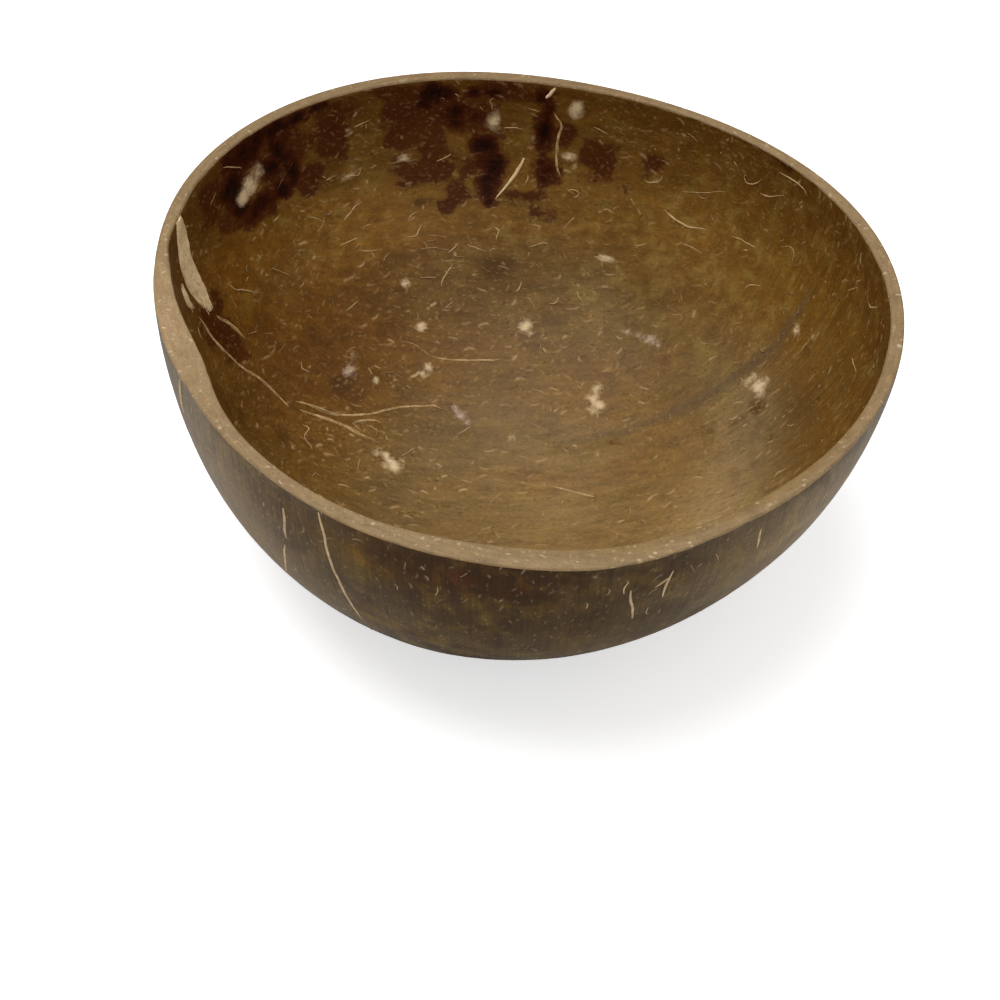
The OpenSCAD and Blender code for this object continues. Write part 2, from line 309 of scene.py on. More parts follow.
def finishWith(shader, colour, roughness, relief, depth, strength):
    bumped = addNode(colour.tree, "Bump", {"Strength": strength, "Distance": depth, "Height": relief})
    feed(shader.inputs["Base Color"], colour)
    feed(shader.inputs["Roughness"], roughness)
    feed(shader.inputs["Normal"], Wire(colour.tree, bumped.outputs[0]))


# Broad painted light and shade, and warmth, as listed in the table below
def withPaintedLightAndTint(colour):
    return mixColour(1.0, colour, attribute(colour.tree, "paintedLightAndTint"), "MULTIPLY")


# The mask and the shade of one size of curled fibre
def curledFibres(place, cells, length, width, curl, share, lay=None):
    facing = Wire(place.tree, addNode(place.tree, "NewGeometry").outputs["Normal"])
    return useGroup(fleckGroup, Point=place, Facing=facing, Cells=cells, Length=length, Width=width,
                    Curl=curl, Share=share, Lay=lay)


# Rows of flecks: cells a metre, length and width as shares of a cell, curl, share of cells, colour, amount
insideLook = {
    "floor": (0.205, 0.1205, 0.041), "wall": (0.108, 0.043, 0.005), "olive": (0.14, 0.083, 0.014),
    "rust": (0.085, 0.026, 0.004), "stain": (0.008, 0.0016, 0.0003), "wine": (0.03, 0.0034, 0.0007),
    "maroon": (0.052, 0.0085, 0.0016), "shadow": (0.062, 0.025, 0.006), "paintedGreyShade": (0.086, 0.06, 0.033),
    "pale": (0.68, 0.51, 0.3), "paintedGlint": (0.56, 0.43, 0.33), "straw": (0.48, 0.31, 0.15),
    "tan": (0.3, 0.175, 0.065), "umber": (0.045, 0.017, 0.004),
    "roughness": 0.44, "coat": 0.03, "coatRoughness": 0.28, "specular": 0.1, "depth": 0.00012,
    "strength": 0.5, "grain": {"Around": 170.0, "Down": 110.0}, "brush": (90.0, 620.0, 620.0),
    "broadBrush": (30.0, 150.0, 150.0),
    "flecks": [
        (560.0, 0.46, 0.21, 1.6, 0.75, "umber", 0.32), (700.0, 0.46, 0.23, 1.8, 0.8, "tan", 0.42),
        (400.0, 0.46, 0.16, 2.0, 0.6, "tan", 0.6), (280.0, 0.44, 0.105, 2.0, 0.4, "straw", 0.6),
    ],
}


def makeInsideFinish():
    look = insideLook
    finish, shader, place = newFinish("shellInside", look["roughness"], look["coat"], look["coatRoughness"],
                                      look["specular"])
    tree = place.tree
    stain, pale, paintedGreyShade = attribute(tree, "tone").split()
    lit = attribute(tree, "tone", "Alpha")
    paintedGlint, upright, shaded = attribute(tree, "spots").split()
    red = attribute(tree, "spots", "Alpha")
    cloud, patch, speck = useGroup(mottleGroup, Point=place)
    grain, broad = useGroup(grainGroup, Point=place, **look["grain"])
    # brushed streaks lie along x where the fibres do, and run up the wall elsewhere
    brushed = noiseOf(place.vector("MULTIPLY", look["brush"]), 1.0, 3.0, 0.6, 0.3)
    fineGrain = mixNumber(upright, brushed, grain)
    broadGrain = noiseOf(place.vector("MULTIPLY", look["broadBrush"]), 1.0, 3.0, 0.55, 0.5)
    broadGrain = mixNumber(upright, broadGrain, broad)
    # the floor is lighter than the walls: partly its own paler tone, and partly painted light, more towards
    # the front
    colour = mixColour(ramp(lit + (cloud * 0.5 - 0.25), 0.1, 0.9), look["wall"], look["floor"])
    colour = mixColour(ramp(patch, 0.45, 0.75, 0.0, 0.6), colour, look["olive"])
    colour = mixColour(ramp(broadGrain, 0.54, 0.74, 0.0, 0.42), colour, look["rust"])
    shade = (fineGrain + 0.5) * (speck * 0.6 + 0.7) * (broadGrain * 0.6 + 0.7) * (patch * 0.8 + 0.6)
    colour = withPaintedLightAndTint(mixColour(1.0, colour, shade, "MULTIPLY"))
    # painted grey shade along the soft crease where the wall meets the floor
    greyShadeShare = ramp(paintedGreyShade + (broadGrain * 0.5 - 0.25), 0.3, 0.9)
    colour = mixColour(greyShadeShare * 0.72, colour, look["paintedGreyShade"])
    # dark spots and dark red stains, with ragged edges
    rag = patch * 1.3 + (speck * 0.35 - 0.825)
    colour = mixColour(ramp(shaded + rag, 0.2, 0.85) * 0.8, colour, look["shadow"])
    reddened = ramp(stain.math("MAXIMUM", red) + rag, 0.16, 0.46)
    rusty = ramp(broadGrain * 0.6 + speck * 0.4, 0.46, 0.66, 0.0, 0.42)
    maroon = mixColour(rusty, look["maroon"], look["rust"])
    colour = mixColour(reddened * 0.9, colour, maroon)
    stained = ramp(stain + rag, 0.34, 0.7)
    colour = mixColour(stained * 0.9, colour, look["wine"])
    colour = mixColour(ramp(stain + rag, 0.55, 0.92), colour, look["stain"])
    # painted cold white glints, small highlights where the surface shines
    paintedGlintShare = ramp(paintedGlint + (patch + (speck * 0.8 - 0.9)), 0.3, 1.1)
    colour = mixColour(paintedGlintShare * 0.75, colour, look["paintedGlint"])
    # curled fibres, fewer on the stains and crowded elsewhere
    quiet = stained * -0.55 + (reddened * -0.4 + 1.0)
    quiet = quiet * ramp(cloud * 0.6 + patch * 0.5, 0.42, 0.68, 0.35, 1.5)
    relief = fineGrain * 0.4
    lay = attribute(tree, "lay", "Vector")
    for cells, length, width, curl, share, colourName, amount in look["flecks"]:
        mask, shade = curledFibres(place, cells, length, width, curl, share, lay)
        colour = mixColour(mask * ((shade * 0.8 + 0.2) * amount * quiet), colour, look[colourName])
        relief = relief + mask * 0.5
    # pale husk left in spots
    paled = ramp(pale + (patch * 1.2 + speck * 0.3 - 0.75), 0.36, 0.95)
    colour = mixColour(paled * 0.92, colour, look["pale"])
    relief = relief + paled * 0.6
    roughness = patch * 0.24 + (look["roughness"] - 0.12) + paled * 0.25
    finishWith(shader, colour, roughness, relief, look["depth"], look["strength"])
    return finish


outsideLook = {
    "umber": (0.036, 0.018, 0.005), "olive": (0.08, 0.049, 0.011), "maroon": (0.044, 0.012, 0.003),
    "ash": (0.066, 0.042, 0.017), "paintedSheen": (0.21, 0.158, 0.105), "straw": (0.42, 0.31, 0.19),
    "roughness": 0.48, "coat": 0.0, "coatRoughness": 0.35, "specular": 0.05, "depth": 0.0001,
    "strength": 0.45, "grain": {"Around": 230.0, "Down": 70.0}, "mottleSize": 0.9,
    "flecks": [(480.0, 0.46, 0.13, 2.4, 0.4, "straw", 0.13), (270.0, 0.42, 0.085, 2.4, 0.18, "straw", 0.4)],
}


def makeOutsideFinish():
    look = outsideLook
    finish, shader, place = newFinish("shellOutside", look["roughness"], look["coat"], look["coatRoughness"],
                                      look["specular"])
    tree = place.tree
    stain, paintedSheen = attribute(tree, "tone").split()[:2]
    cloud, patch, speck = useGroup(mottleGroup, Point=place, Size=look["mottleSize"])
    grain, broad = useGroup(grainGroup, Point=place, **look["grain"])
    colour = mixColour(ramp(cloud, 0.38, 0.6), look["umber"], look["ash"])
    colour = mixColour(ramp(patch, 0.46, 0.66, 0.0, 0.6), colour, look["olive"])
    colour = mixColour(ramp(broad, 0.5, 0.72, 0.0, 0.4), colour, look["umber"])
    colour = mixColour(ramp(stain + (patch - 0.5), 0.45, 0.8, 0.0, 0.7), colour, look["maroon"])
    # painted pale sheen, most at the left and right sides
    colour = mixColour((paintedSheen * (broad * 0.8 + 0.5)).math("MINIMUM", 1.0), colour, look["paintedSheen"])
    shade = (grain + 0.5) * (speck * 0.8 + 0.6) * (patch + 0.42)
    colour = withPaintedLightAndTint(mixColour(1.0, colour, shade, "MULTIPLY"))
    relief = grain
    lay = attribute(tree, "lay", "Vector")
    for cells, length, width, curl, share, colourName, amount in look["flecks"]:
        mask, shade = curledFibres(place, cells, length, width, curl, share, lay)
        colour = mixColour(mask * (shade * amount + 0.1), colour, look[colourName])
        relief = relief + mask * 0.4
    roughness = patch * 0.2 + (look["roughness"] - 0.1)
    finishWith(shader, colour, roughness, relief, look["depth"], look["strength"])
    return finish


# The rim's rows of flecks end with a height: pores are sunk
rimLook = {
    "tan": (0.212, 0.134, 0.06), "sand": (0.285, 0.19, 0.09), "brown": (0.14, 0.08, 0.03),
    "pore": (0.07, 0.035, 0.015), "glint": (0.62, 0.5, 0.33),
    "roughness": 0.55, "coat": 0.05, "coatRoughness": 0.4, "strength": 0.6, "mottleSize": 1.6,
    "streaks": 260.0,
    "flecks": [
        (800.0, 0.46, 0.2, 1.0, 0.8, "brown", 0.32, 0.2), (620.0, 0.36, 0.2, 1.0, 0.3, "glint", 0.32, 0.2),
        (330.0, 0.3, 0.13, 1.0, 0.16, "glint", 0.55, 0.2), (1100.0, 0.2, 0.22, 1.0, 0.3, "pore", 0.45, -0.8),
    ],
}


def makeRimFinish(name, depth):
    look = rimLook
    finish, shader, place = newFinish(name, look["roughness"], look["coat"], look["coatRoughness"])
    cloud, patch, speck = useGroup(mottleGroup, Point=place, Size=look["mottleSize"])
    streaked = place.vector("SCALE", look["streaks"]).vector("ADD", attribute(place.tree, "lay", "Vector"))
    colour = mixColour(ramp(noiseOf(streaked, 1.0, 4.0, 0.65), 0.25, 0.75), look["tan"], look["sand"])
    colour = mixColour(ramp(cloud * -1.0 + 1.0, 0.5, 0.8, 0.0, 0.5), colour, look["brown"])
    colour = mixColour(1.0, colour, patch * 0.5 + (speck * 0.4 + 0.52), "MULTIPLY")
    relief = speck * 0.6
    for cells, length, width, curl, share, colourName, amount, height in look["flecks"]:
        mask, shade = curledFibres(place, cells, length, width, curl, share)
        colour = mixColour(mask * (shade * amount + 0.1), colour, look[colourName])
        relief = relief + mask * height
    roughness = speck * 0.3 + (look["roughness"] - 0.15)
    finishWith(shader, withPaintedLightAndTint(colour), roughness, relief, depth, look["strength"])
    return finish


fibreLook = {
    "husk": {"light": (0.9, 0.69, 0.41), "dark": (0.6, 0.43, 0.22), "roughness": 0.72},
    "thread": {"light": (0.56, 0.39, 0.18), "dark": (0.26, 0.155, 0.055), "roughness": 0.5},
    "bristle": {"light": (0.6, 0.44, 0.25), "dark": (0.34, 0.225, 0.11), "roughness": 0.55},
    "fleck": {"light": (0.3, 0.182, 0.076), "dark": (0.15, 0.084, 0.028), "roughness": 0.5},
    "hair": {"light": (0.5, 0.33, 0.16), "dark": (0.25, 0.15, 0.06), "roughness": 0.5},
}
fibreSurface = {"coat": 0.05, "coatRoughness": 0.3, "depth": 0.00006, "strength": 0.5, "mottleSize": 2.0}


def makeFibreFinish(name):
    look = {**fibreSurface, **fibreLook[name]}
    finish, shader, place = newFinish(name + "Finish", look["roughness"], look["coat"], look["coatRoughness"])
    patch, speck = useGroup(mottleGroup, Point=place, Size=look["mottleSize"])[1:]
    colour = mixColour(ramp(patch * 0.7 + speck * 0.4, 0.38, 0.72), look["dark"], look["light"])
    roughness = speck * 0.3 + (look["roughness"] - 0.15)
    finishWith(shader, colour, roughness, speck, look["depth"], look["strength"])
    return finish


finishes = {
    "inside": makeInsideFinish(), "outside": makeOutsideFinish(),
    "rim": makeRimFinish("shellRim", 0.00009), "ground": makeRimFinish("shellGround", 0.00005),
}
for fibreName in fibreLook:
    finishes[fibreName] = makeFibreFinish(fibreName)
print("finishes built")

# Marks on the wall: azimuth, latitude, half size along the wall and up it in millimetres, and strength
marks = {
    "stain": [
        (133, 79.2, 3.2, 4.8, 1), (133, 83.3, 3.6, 2.4, 0.95), (128.5, 83.5, 2.5, 1.4, 0.95),
        (125, 84.2, 2.4, 1.4, 0.9), (135, 77.6, 3.6, 3.1, 0.95), (131, 74.5, 1.8, 3, 0.95),
        (134, 72.1, 2.4, 2.1, 0.9), (138, 71.6, 3.5, 2.6, 0.95), (140.5, 70.9, 2.9, 2.2, 0.95),
        (144, 77.8, 3.2, 4.5, 0.95), (143.5, 73.5, 2.9, 2.6, 0.95), (141, 82.3, 4.8, 3.7, 0.95),
        (137.5, 83.3, 3, 2.9, 0.9), (104.5, 82.1, 3.6, 2, 1), (106.5, 80.6, 1.8, 1.5, 0.85),
        (101, 78.7, 3, 2.3, 0.9), (101, 76.1, 2.3, 2, 0.85), (98, 78, 2.4, 2, 0.85),
        (98, 82.3, 1.8, 1.4, 0.8), (95, 82.5, 2.4, 1.4, 0.75), (96, 72.1, 2.9, 2.9, 0.9),
        (94.5, 68.3, 2.8, 3.7, 1), (95.5, 64.5, 2.2, 3.1, 1), (94.5, 61, 1.6, 1.1, 0.8),
        (86, 82.3, 1.8, 2, 0.8), (85, 75.9, 1.8, 6.6, 0.85), (84, 67.8, 2.8, 3.2, 0.85),
    ],
    "red": [
        (128, 71.6, 2.4, 2.6, 1), (129, 77.6, 1.3, 3.2, 0.7), (123, 77.6, 2.4, 4.7, 0.95),
        (123, 82.5, 3, 1.7, 0.8), (126.5, 78.5, 2.4, 2.7, 0.5), (149.5, 79.2, 4.9, 4.7, 0.7),
        (146.5, 73.5, 3.5, 2.6, 0.6), (120, 83.7, 3.6, 1.6, 0.5), (109.5, 79.7, 4.7, 2.6, 0.9),
        (110, 75.9, 3.5, 3.2, 1), (105.5, 75.9, 2.9, 3.4, 0.9), (107, 67.8, 4.5, 2.6, 0.95),
        (106, 71.6, 2.9, 2.3, 0.75), (110, 65.7, 3.3, 1, 0.65), (101, 62.9, 2.1, 2, 1),
        (103, 60.7, 1.6, 1.5, 0.95), (93.5, 83.5, 3.6, 2, 0.9), (113, 83.7, 3, 1.5, 0.85),
        (110, 83.3, 2.4, 1.5, 0.8), (103.5, 78.7, 3, 2, 0.9), (74, 71.4, 4, 4.2, 0.7),
        (81, 75.4, 1.8, 2.6, 0.8), (81, 83.5, 3, 1.8, 0.5), (87.5, 62.9, 5.4, 1.3, 0.6),
        (97, 77.1, 5.3, 5.1, 0.6), (63, 74.2, 2.4, 2.2, 0.6), (37, 85.2, 3, 1.8, 0.7),
        (98.5, 67.4, 2.8, 3.7, 0.5), (163, 63, 2.5, 5, 0.9), (160, 57, 3, 6, 0.8), (157, 64, 2, 3, 0.6),
        (83, 60, 5, 2, 0.4), (105.5, 68.5, 8.4, 5.3, 0.42), (90, 82.8, 9.6, 2.7, 0.5),
        (72, 71.4, 8.1, 6.3, 0.36), (119.5, 81.4, 5.4, 5.1, 0.3), (146, 79.2, 6.7, 6.9, 0.34),
    ],
    "shadow": [
        (108, 61.7, 2.7, 1.2, 0.9), (89.5, 61, 2.6, 0.9, 0.8), (78, 64.5, 1.6, 0.9, 0.7),
        (92.5, 48.4, 3.6, 3.4, 0.9), (83, 52.2, 2.4, 1.5, 0.5), (141, 34.2, 3.2, 3, 1),
        (140, 31.3, 2.4, 2.1, 0.8), (3.5, 54.3, 11.8, 11.9, 0.55), (7.5, 45.8, 6.7, 7, 0.5),
        (3, 65.5, 10.1, 8.1, 0.5), (16.5, 36.3, 3.6, 2.9, 0.45), (84, 47, 5, 3, 0.4), (150, 51, 4, 4, 0.5),
        (137, 60, 7, 4, 0.4), (118, 60, 6, 3, 0.3), (168, 78, 1.4, 9, 0.5), (167, 70, 1.6, 6, 0.5),
        (9, 63, 6, 5, 0.4), (13, 46.7, 3.2, 3, 0.7), (12, 42.9, 3.2, 3.5, 0.55), (4.5, 48.6, 3.5, 3.3, 0.5),
        (13.5, 60.2, 2.6, 2.2, 0.6), (6, 76.4, 2.5, 2.2, 0.6),
    ],
    # painted glints: small cold white highlights
    "paintedGlint": [
        (109, 21.6, 0.7, 0.9, 1), (107.5, 19.9, 1.1, 1.2, 1.1), (105, 18.5, 1, 0.9, 1),
        (136.5, 35.8, 1.5, 1, 1.1), (134.5, 36.8, 1.3, 1, 0.6), (135.5, 33.9, 1, 1.3, 0.5),
        (56, 41.5, 1.3, 0.8, 0.8), (52.5, 41.7, 1.7, 0.8, 0.85), (49, 42, 1.7, 1, 1.05),
        (47, 42, 0.9, 0.7, 1.05), (80, 43.2, 1.7, 0.9, 0.4),
    ],
    "pale": [
        (138, 77.6, 1.9, 1.9, 0.95), (140, 76.4, 2.3, 2.2, 1), (142, 75.2, 2.0, 1.9, 0.95),
        (133, 74.7, 1.2, 1, 0.5), (124, 70.2, 1.8, 1, 0.8), (120.5, 69.3, 2.3, 1, 0.75),
        (120, 77.8, 1.2, 1.2, 0.5), (121, 63.3, 2.2, 1.2, 0.45), (110, 70.7, 1.7, 0.9, 0.85),
        (100.5, 81.4, 1.2, 0.9, 0.4), (101, 72.1, 0.8, 1.1, 0.6), (92.5, 71.9, 0.8, 1.1, 0.6),
        (94, 76.9, 1.9, 2.6, 0.9), (87, 74, 0.8, 1.2, 0.6), (79.5, 81.1, 1.9, 2.3, 0.85),
        (80, 71.4, 1.8, 1.2, 1), (78.5, 69.7, 1.7, 1.5, 0.6), (71.5, 71.4, 0.8, 0.9, 0.5),
        (68, 78.7, 1.3, 0.8, 0.5), (147.5, 65.5, 1.2, 1.2, 0.5), (62, 70.5, 1.2, 1, 0.6),
        (83.5, 38, 1.5, 1.2, 0.95), (84, 37, 1.5, 0.9, 0.95), (82, 36.1, 1.5, 0.9, 0.85),
        (79, 35.1, 1.1, 0.7, 0.75), (55, 29.2, 1.2, 1.5, 0.85), (54, 27.5, 1.5, 1.4, 0.85),
        (50.5, 26.8, 1.7, 1.2, 1), (51.5, 25.1, 1.6, 1, 0.85), (56.5, 26.8, 1.2, 0.8, 0.65),
        (150, 19.7, 1.1, 1, 0.95), (152, 18.3, 1.1, 1.3, 0.95), (153.5, 17.3, 1.3, 1.3, 0.95),
        (155.5, 19, 0.8, 0.9, 0.7), (152, 21.3, 0.9, 1, 0.85), (147, 17.1, 0.9, 0.8, 0.65),
        (20, 48.9, 1.3, 1, 0.85), (16.5, 48.4, 2.3, 1.9, 1), (16.5, 50.3, 1.5, 1, 0.7),
        (20, 47.2, 1.6, 1.2, 0.75), (114, 47, 1, 0.9, 0.95), (114, 30.1, 1, 1.5, 0.85),
        (116, 29.4, 0.9, 1.2, 0.7), (112.5, 38.2, 1.2, 0.9, 0.9), (131.5, 31.5, 0.9, 1, 1),
        (19.5, 60.7, 1.5, 1.2, 0.8), (15, 62.6, 1.2, 1, 0.6), (68, 53.4, 2, 0.8, 0.95),
        (84, 20.4, 0.7, 0.9, 0.65), (81.5, 15.2, 1, 1.7, 0.6), (132, 38.2, 1.7, 1.4, 0.55),
        (62, 57.4, 1.6, 1, 0.5),
    ],
    # painted grey shade
    "paintedGreyShade": [(92, 50, 12, 7, 0.35)],
    "outsideStain": [
        (250, 83, 9, 3, 0.75), (262, 82, 6, 3, 0.8), (269, 80, 4, 4, 0.8), (283, 82, 6, 3, 0.4),
        (242, 78, 6, 5, 0.4), (257, 76, 7, 3, 0.4), (300, 80, 7, 3, 0.4), (130, 70, 10, 14, 0.7),
        (60, 76, 12, 9, 0.6), (10, 66, 9, 12, 0.5),
    ],
}

# Broad painted light and shade, and warmth: azimuth, latitude, half sizes as above, and factor of the colour
paintedLightAndTints = {
    "inside": [
        (62, 63, 88, 16, (1.66, 2.0, 2.9)), (30, 45, 45, 8, (1.16, 1.32, 1.52)),
        (150, 36, 34, 15, (0.82, 0.66, 0.38)), (150, 50, 30, 9, (0.98, 0.86, 0.52)),
        (200, 22, 26, 16, (0.80, 0.79, 0.78)), (92, 28, 62, 9, (1.02, 0.96, 0.68)),
        (5, 9, 16, 10, (1.16, 1.22, 1.28)), (272, 66, 40, 14, (1.25, 1.0, 0.7)),
        (118, 58, 18, 9, (1.4, 1.42, 1.4)), (340, 36, 18, 10, (1.6, 1.8, 2.4)),
        (75, 45, 26, 14, (1.02, 1.12, 1.35)), (176, 48, 12, 18, (0.86, 0.86, 0.74)),
        (150, 66, 16, 8, (1.3, 1.2, 0.9)), (20, 70, 30, 10, (1.0, 1.02, 0.85)),
        (132, 18, 20, 14, (0.88, 0.90, 0.95)), (5, 50, 14, 12, (1.04, 1.10, 1.30)),
        (105, 50, 16, 10, (0.88, 0.88, 0.95)),
    ],
    "outside": [
        (254, 81, 34, 6, (1.12, 0.86, 0.45)), (262, 63, 16, 12, (1.4, 1.4, 1.3)),
        (278, 71, 11, 9, (0.72, 0.64, 0.55)), (222, 60, 22, 14, (1.5, 1.45, 1.3)),
        (306, 77, 22, 10, (1.35, 1.3, 1.1)), (246, 62, 14, 10, (1.3, 1.3, 1.3)),
        (330, 70, 30, 16, (2.0, 2.1, 2.3)), (288, 58, 14, 8, (1.4, 1.4, 1.3)),
        (262, 52, 50, 7, (1.4, 1.6, 2.2)), (210, 76, 22, 14, (1.6, 1.6, 1.5)),
        (245, 79, 8, 4, (1.45, 1.45, 0.9)), (265, 73, 9, 5, (1.25, 1.25, 1.1)),
        (294, 66, 14, 5, (1.3, 1.4, 1.45)),
    ],
    "rim": [(100, 85, 70, 40, (0.86, 0.84, 0.80)), (184, 85, 24, 40, (1.25, 1.26, 1.34))],
    "rimBand": [(305, 85, 36, 40, (0.84, 0.78, 0.55))],
}


# Distance from a mark's middle, along the wall and up it, as shares of its half sizes
def awayFrom(mark, azimuth, latitude):
    at, level, halfAlong, halfUp = mark[:4]
    along = math.radians(turnFrom(azimuth, at)) * bowl["radius"] * math.sin(math.radians(level))
    up = math.radians(latitude - level) * bowl["radius"]
    return along / halfAlong, up / halfUp


def paintedLightAndTintAt(kind, azimuth, latitude):
    colour = [1.0, 1.0, 1.0]
    for paintedLightAndTint in paintedLightAndTints[kind]:
        along, up = awayFrom(paintedLightAndTint, azimuth, latitude)
        share = math.exp(-(along ** 2) - up ** 2)
        colour = [old * (1 + (factor - 1) * share) for old, factor in zip(colour, paintedLightAndTint[4])]
    return (*colour, 1.0)


# The soft crease where the right wall meets the floor, dented and given painted grey shade: azimuth, latitude
# and half width
crease = {"strength": 0.72, "steps": 8, "route": [
    (22.5, 68.8, 0.6), (22, 65.2, 1.6), (22, 60.5, 2.2), (21.5, 56, 2.6), (22.5, 51.2, 2.8), (24, 46, 2.8),
    (25.5, 39.4, 2.4), (29, 32.7, 2.2), (36, 24.7, 1.8), (53.5, 16.6, 1.2)]}


# The smooth path through the few places that a route gives
def smoothRoute(route, steps):
    path = []
    last = len(route) - 1
    for k in range(last):
        before, here, there, after = route[max(k - 1, 0)], route[k], route[k + 1], route[min(k + 2, last)]
        for j in range(steps):
            s = j / steps
            path.append(tuple(
                (2 * b + (c - a) * s + (2 * a - 5 * b + 4 * c - d) * s * s
                 + (3 * b - a - 3 * c + d) * s ** 3) / 2
                for a, b, c, d in zip(before, here, there, after)
            ))
    path.append(tuple(route[last]))
    return path


for creaseAt, creaseLevel, halfWidth in smoothRoute(crease["route"], crease["steps"]):
    marks["paintedGreyShade"].append((creaseAt, creaseLevel, halfWidth, halfWidth, crease["strength"]))


def markAt(kind, azimuth, latitude, reach=2):
    strongest = 0.0
    for mark in marks[kind]:
        if abs(latitude - mark[1]) < 30:
            away = math.hypot(*awayFrom(mark, azimuth, latitude))
            strongest = max(strongest, mark[4] * (1 - away / reach))
    return strongest


# Light and lie of the fibres: places are azimuth and spread, lies are directions, and ranges are
# millimetres for the light and latitudes for the walls
lie = {
    "frontLight": (-55, 55), "floorLight": (3, 41), "light": (0.55, 0.6),
    # painted sheen at the left and the right of the outside
    "paintedSheen": ((205, 28, 0.9), (335, 34, 1.0)), "paintedSheenFade": 0.5,
    "right": (5, 34), "front": (270, 45), "uprightFront": (270, 50), "left": (178, 34),
    "uprightWall": (24, 48), "wall": (28, 48), "rightPull": 0.75, "frontPull": 0.6,
    "floorLie": (0.42, 0, 0), "leftLie": (0.35, 0.45, 0.22), "outsidePull": 0.6,
}


# Share of the lighter floor colour at a place inside, partly painted light and more towards the front
def litAt(azimuth, latitude):
    point = skinPoint(azimuth, latitude, True)
    base, more = lie["light"]
    front = 1 - between(point.y, *lie["frontLight"])
    return between((1 - between(point.z, *lie["floorLight"])) * (base + more * front), 0, 1)


# Share of painted pale sheen on the outside, most at the left and the right
def paintedSheenAt(azimuth, latitude):
    low = 1 - lie["paintedSheenFade"] * math.sin(math.radians(latitude)) ** 2
    return min(1.0, sum(amount * bump(azimuth, at, spread) for at, spread, amount in lie["paintedSheen"])) * low


# Share of the grain that runs up the wall at a place inside
def uprightAt(azimuth, latitude):
    wall = between(latitude, *lie["uprightWall"])
    return min(1.0, wall * (bump(azimuth, *lie["right"]) + bump(azimuth, *lie["uprightFront"])))


# The way that most fibres lie at a place inside: along x on the floor, up the wall at the right and the front
def layAt(azimuth, latitude):
    up = skinFrame(azimuth, max(latitude, 1), True)[0]
    wall = between(latitude, *lie["wall"])
    right, front, left = [wall * bump(azimuth, *lie[side]) for side in ("right", "front", "left")]
    lay = Vector(lie["floorLie"]) * (1 - min(right + front + left, 1))
    return lay + up * (lie["rightPull"] * right + lie["frontPull"] * front) + Vector(lie["leftLie"]) * left


shellShape = {
    "around": 500, "groundRings": 6, "outsideRings": 44, "rimRings": 11, "insideRings": 112,
    "groundReach": 0.992, "firstHeight": 0.22, "rimLevel": 85, "innerBand": (0.35, 0.65),
    "rimStreaks": 5.0, "rimLump": 0.02, "rimLumpSize": 1.6,
    "lump": 0.14, "lumpSize": 13.0, "pit": 0.03, "pitSize": 2.2, "pitDrift": (7.1, 3.3, 1.7), "poleFade": 8,
    "creaseDepth": 0.22, "paleRise": 0.12, "nick": 0.32, "nickSize": 2.6, "nickDrift": (0, 0, 5.0),
    "nickFrom": 0.1, "nickReach": 1.2,
}


# The profile's rings, from the middle of the ground underside over the rim to the middle of the floor
def shellRings():
    shape = shellShape
    firstOut = latitudeAtHeight(shape["firstHeight"], False)
    topOut, topIn = [latitudeAtHeight(bowl["height"] - bowl["rimEdge"], inside) for inside in (False, True)]
    ground, outside, rim, inside = [shape[part + "Rings"] for part in ("ground", "outside", "rim", "inside")]
    rings = [("ground", k / ground * shape["groundReach"]) for k in range(ground + 1)]
    rings += [("outside", firstOut + (topOut - firstOut) * (k / (outside - 1))) for k in range(outside)]
    rings += [("rim", (k + 1) / (rim + 1)) for k in range(rim)]
    return rings + [("inside", topIn * (1 - k / inside)) for k in range(inside + 1)]


def roughen(point, out, azimuth, latitude, inside):
    shape = shellShape
    lump = noise.noise(point / shape["lumpSize"]) * shape["lump"]
    pit = noise.noise(point / shape["pitSize"] + Vector(shape["pitDrift"])) * shape["pit"]
    if inside:
        lump -= shape["creaseDepth"] * markAt("paintedGreyShade", azimuth, latitude)
        lump += shape["paleRise"] * markAt("pale", azimuth, latitude)
    return point + out * (lump + pit) * min(1.0, latitude / shape["poleFade"])


def groundPoint(value, azimuth):
    middle = skinPoint(0, 0, False)
    edge = skinPoint(azimuth, latitudeAtHeight(0.0, False), False)
    middle.z = edge.z = 0.0
    return middle.lerp(edge, value)


def rimPoint(value, azimuth):
    shape, edge, top = shellShape, bowl["rimEdge"], bowl["height"]
    outer, inner = [skinPoint(azimuth, latitudeAtHeight(top, side), side) for side in (False, True)]
    # the rings crowd towards both edges
    share = 0.5 - 0.5 * math.cos(math.pi * value)
    place = outer.lerp(inner, share)
    near = min(share, 1 - share) * (inner - outer).length
    if near < edge:
        place.z -= edge - math.sqrt(max(edge ** 2 - (edge - near) ** 2, 0))
    place.z += (noise.noise(place / shape["rimLumpSize"]) - 1) * shape["rimLump"]
    return place


def wallPoint(value, azimuth, inside):
    shape = shellShape
    point = skinPoint(azimuth, value, inside)
    if value < 0.01:
        return point
    out = skinFrame(azimuth, value, inside)[2]
    point = roughen(point, out, azimuth, value, inside)
    # small nicks along both edges of the rim
    close = max(0.0, 1 - (bowl["height"] - point.z) / shape["nickReach"])
    nick = noise.noise(point / shape["nickSize"] + Vector(shape["nickDrift"])) - shape["nickFrom"]
    return point - out * max(0.0, nick) * shape["nick"] * close


def ringPoint(part, value, azimuth):
    if part == "ground":
        return groundPoint(value, azimuth)
    if part == "rim":
        return rimPoint(value, azimuth)
    return wallPoint(value, azimuth, part == "inside")
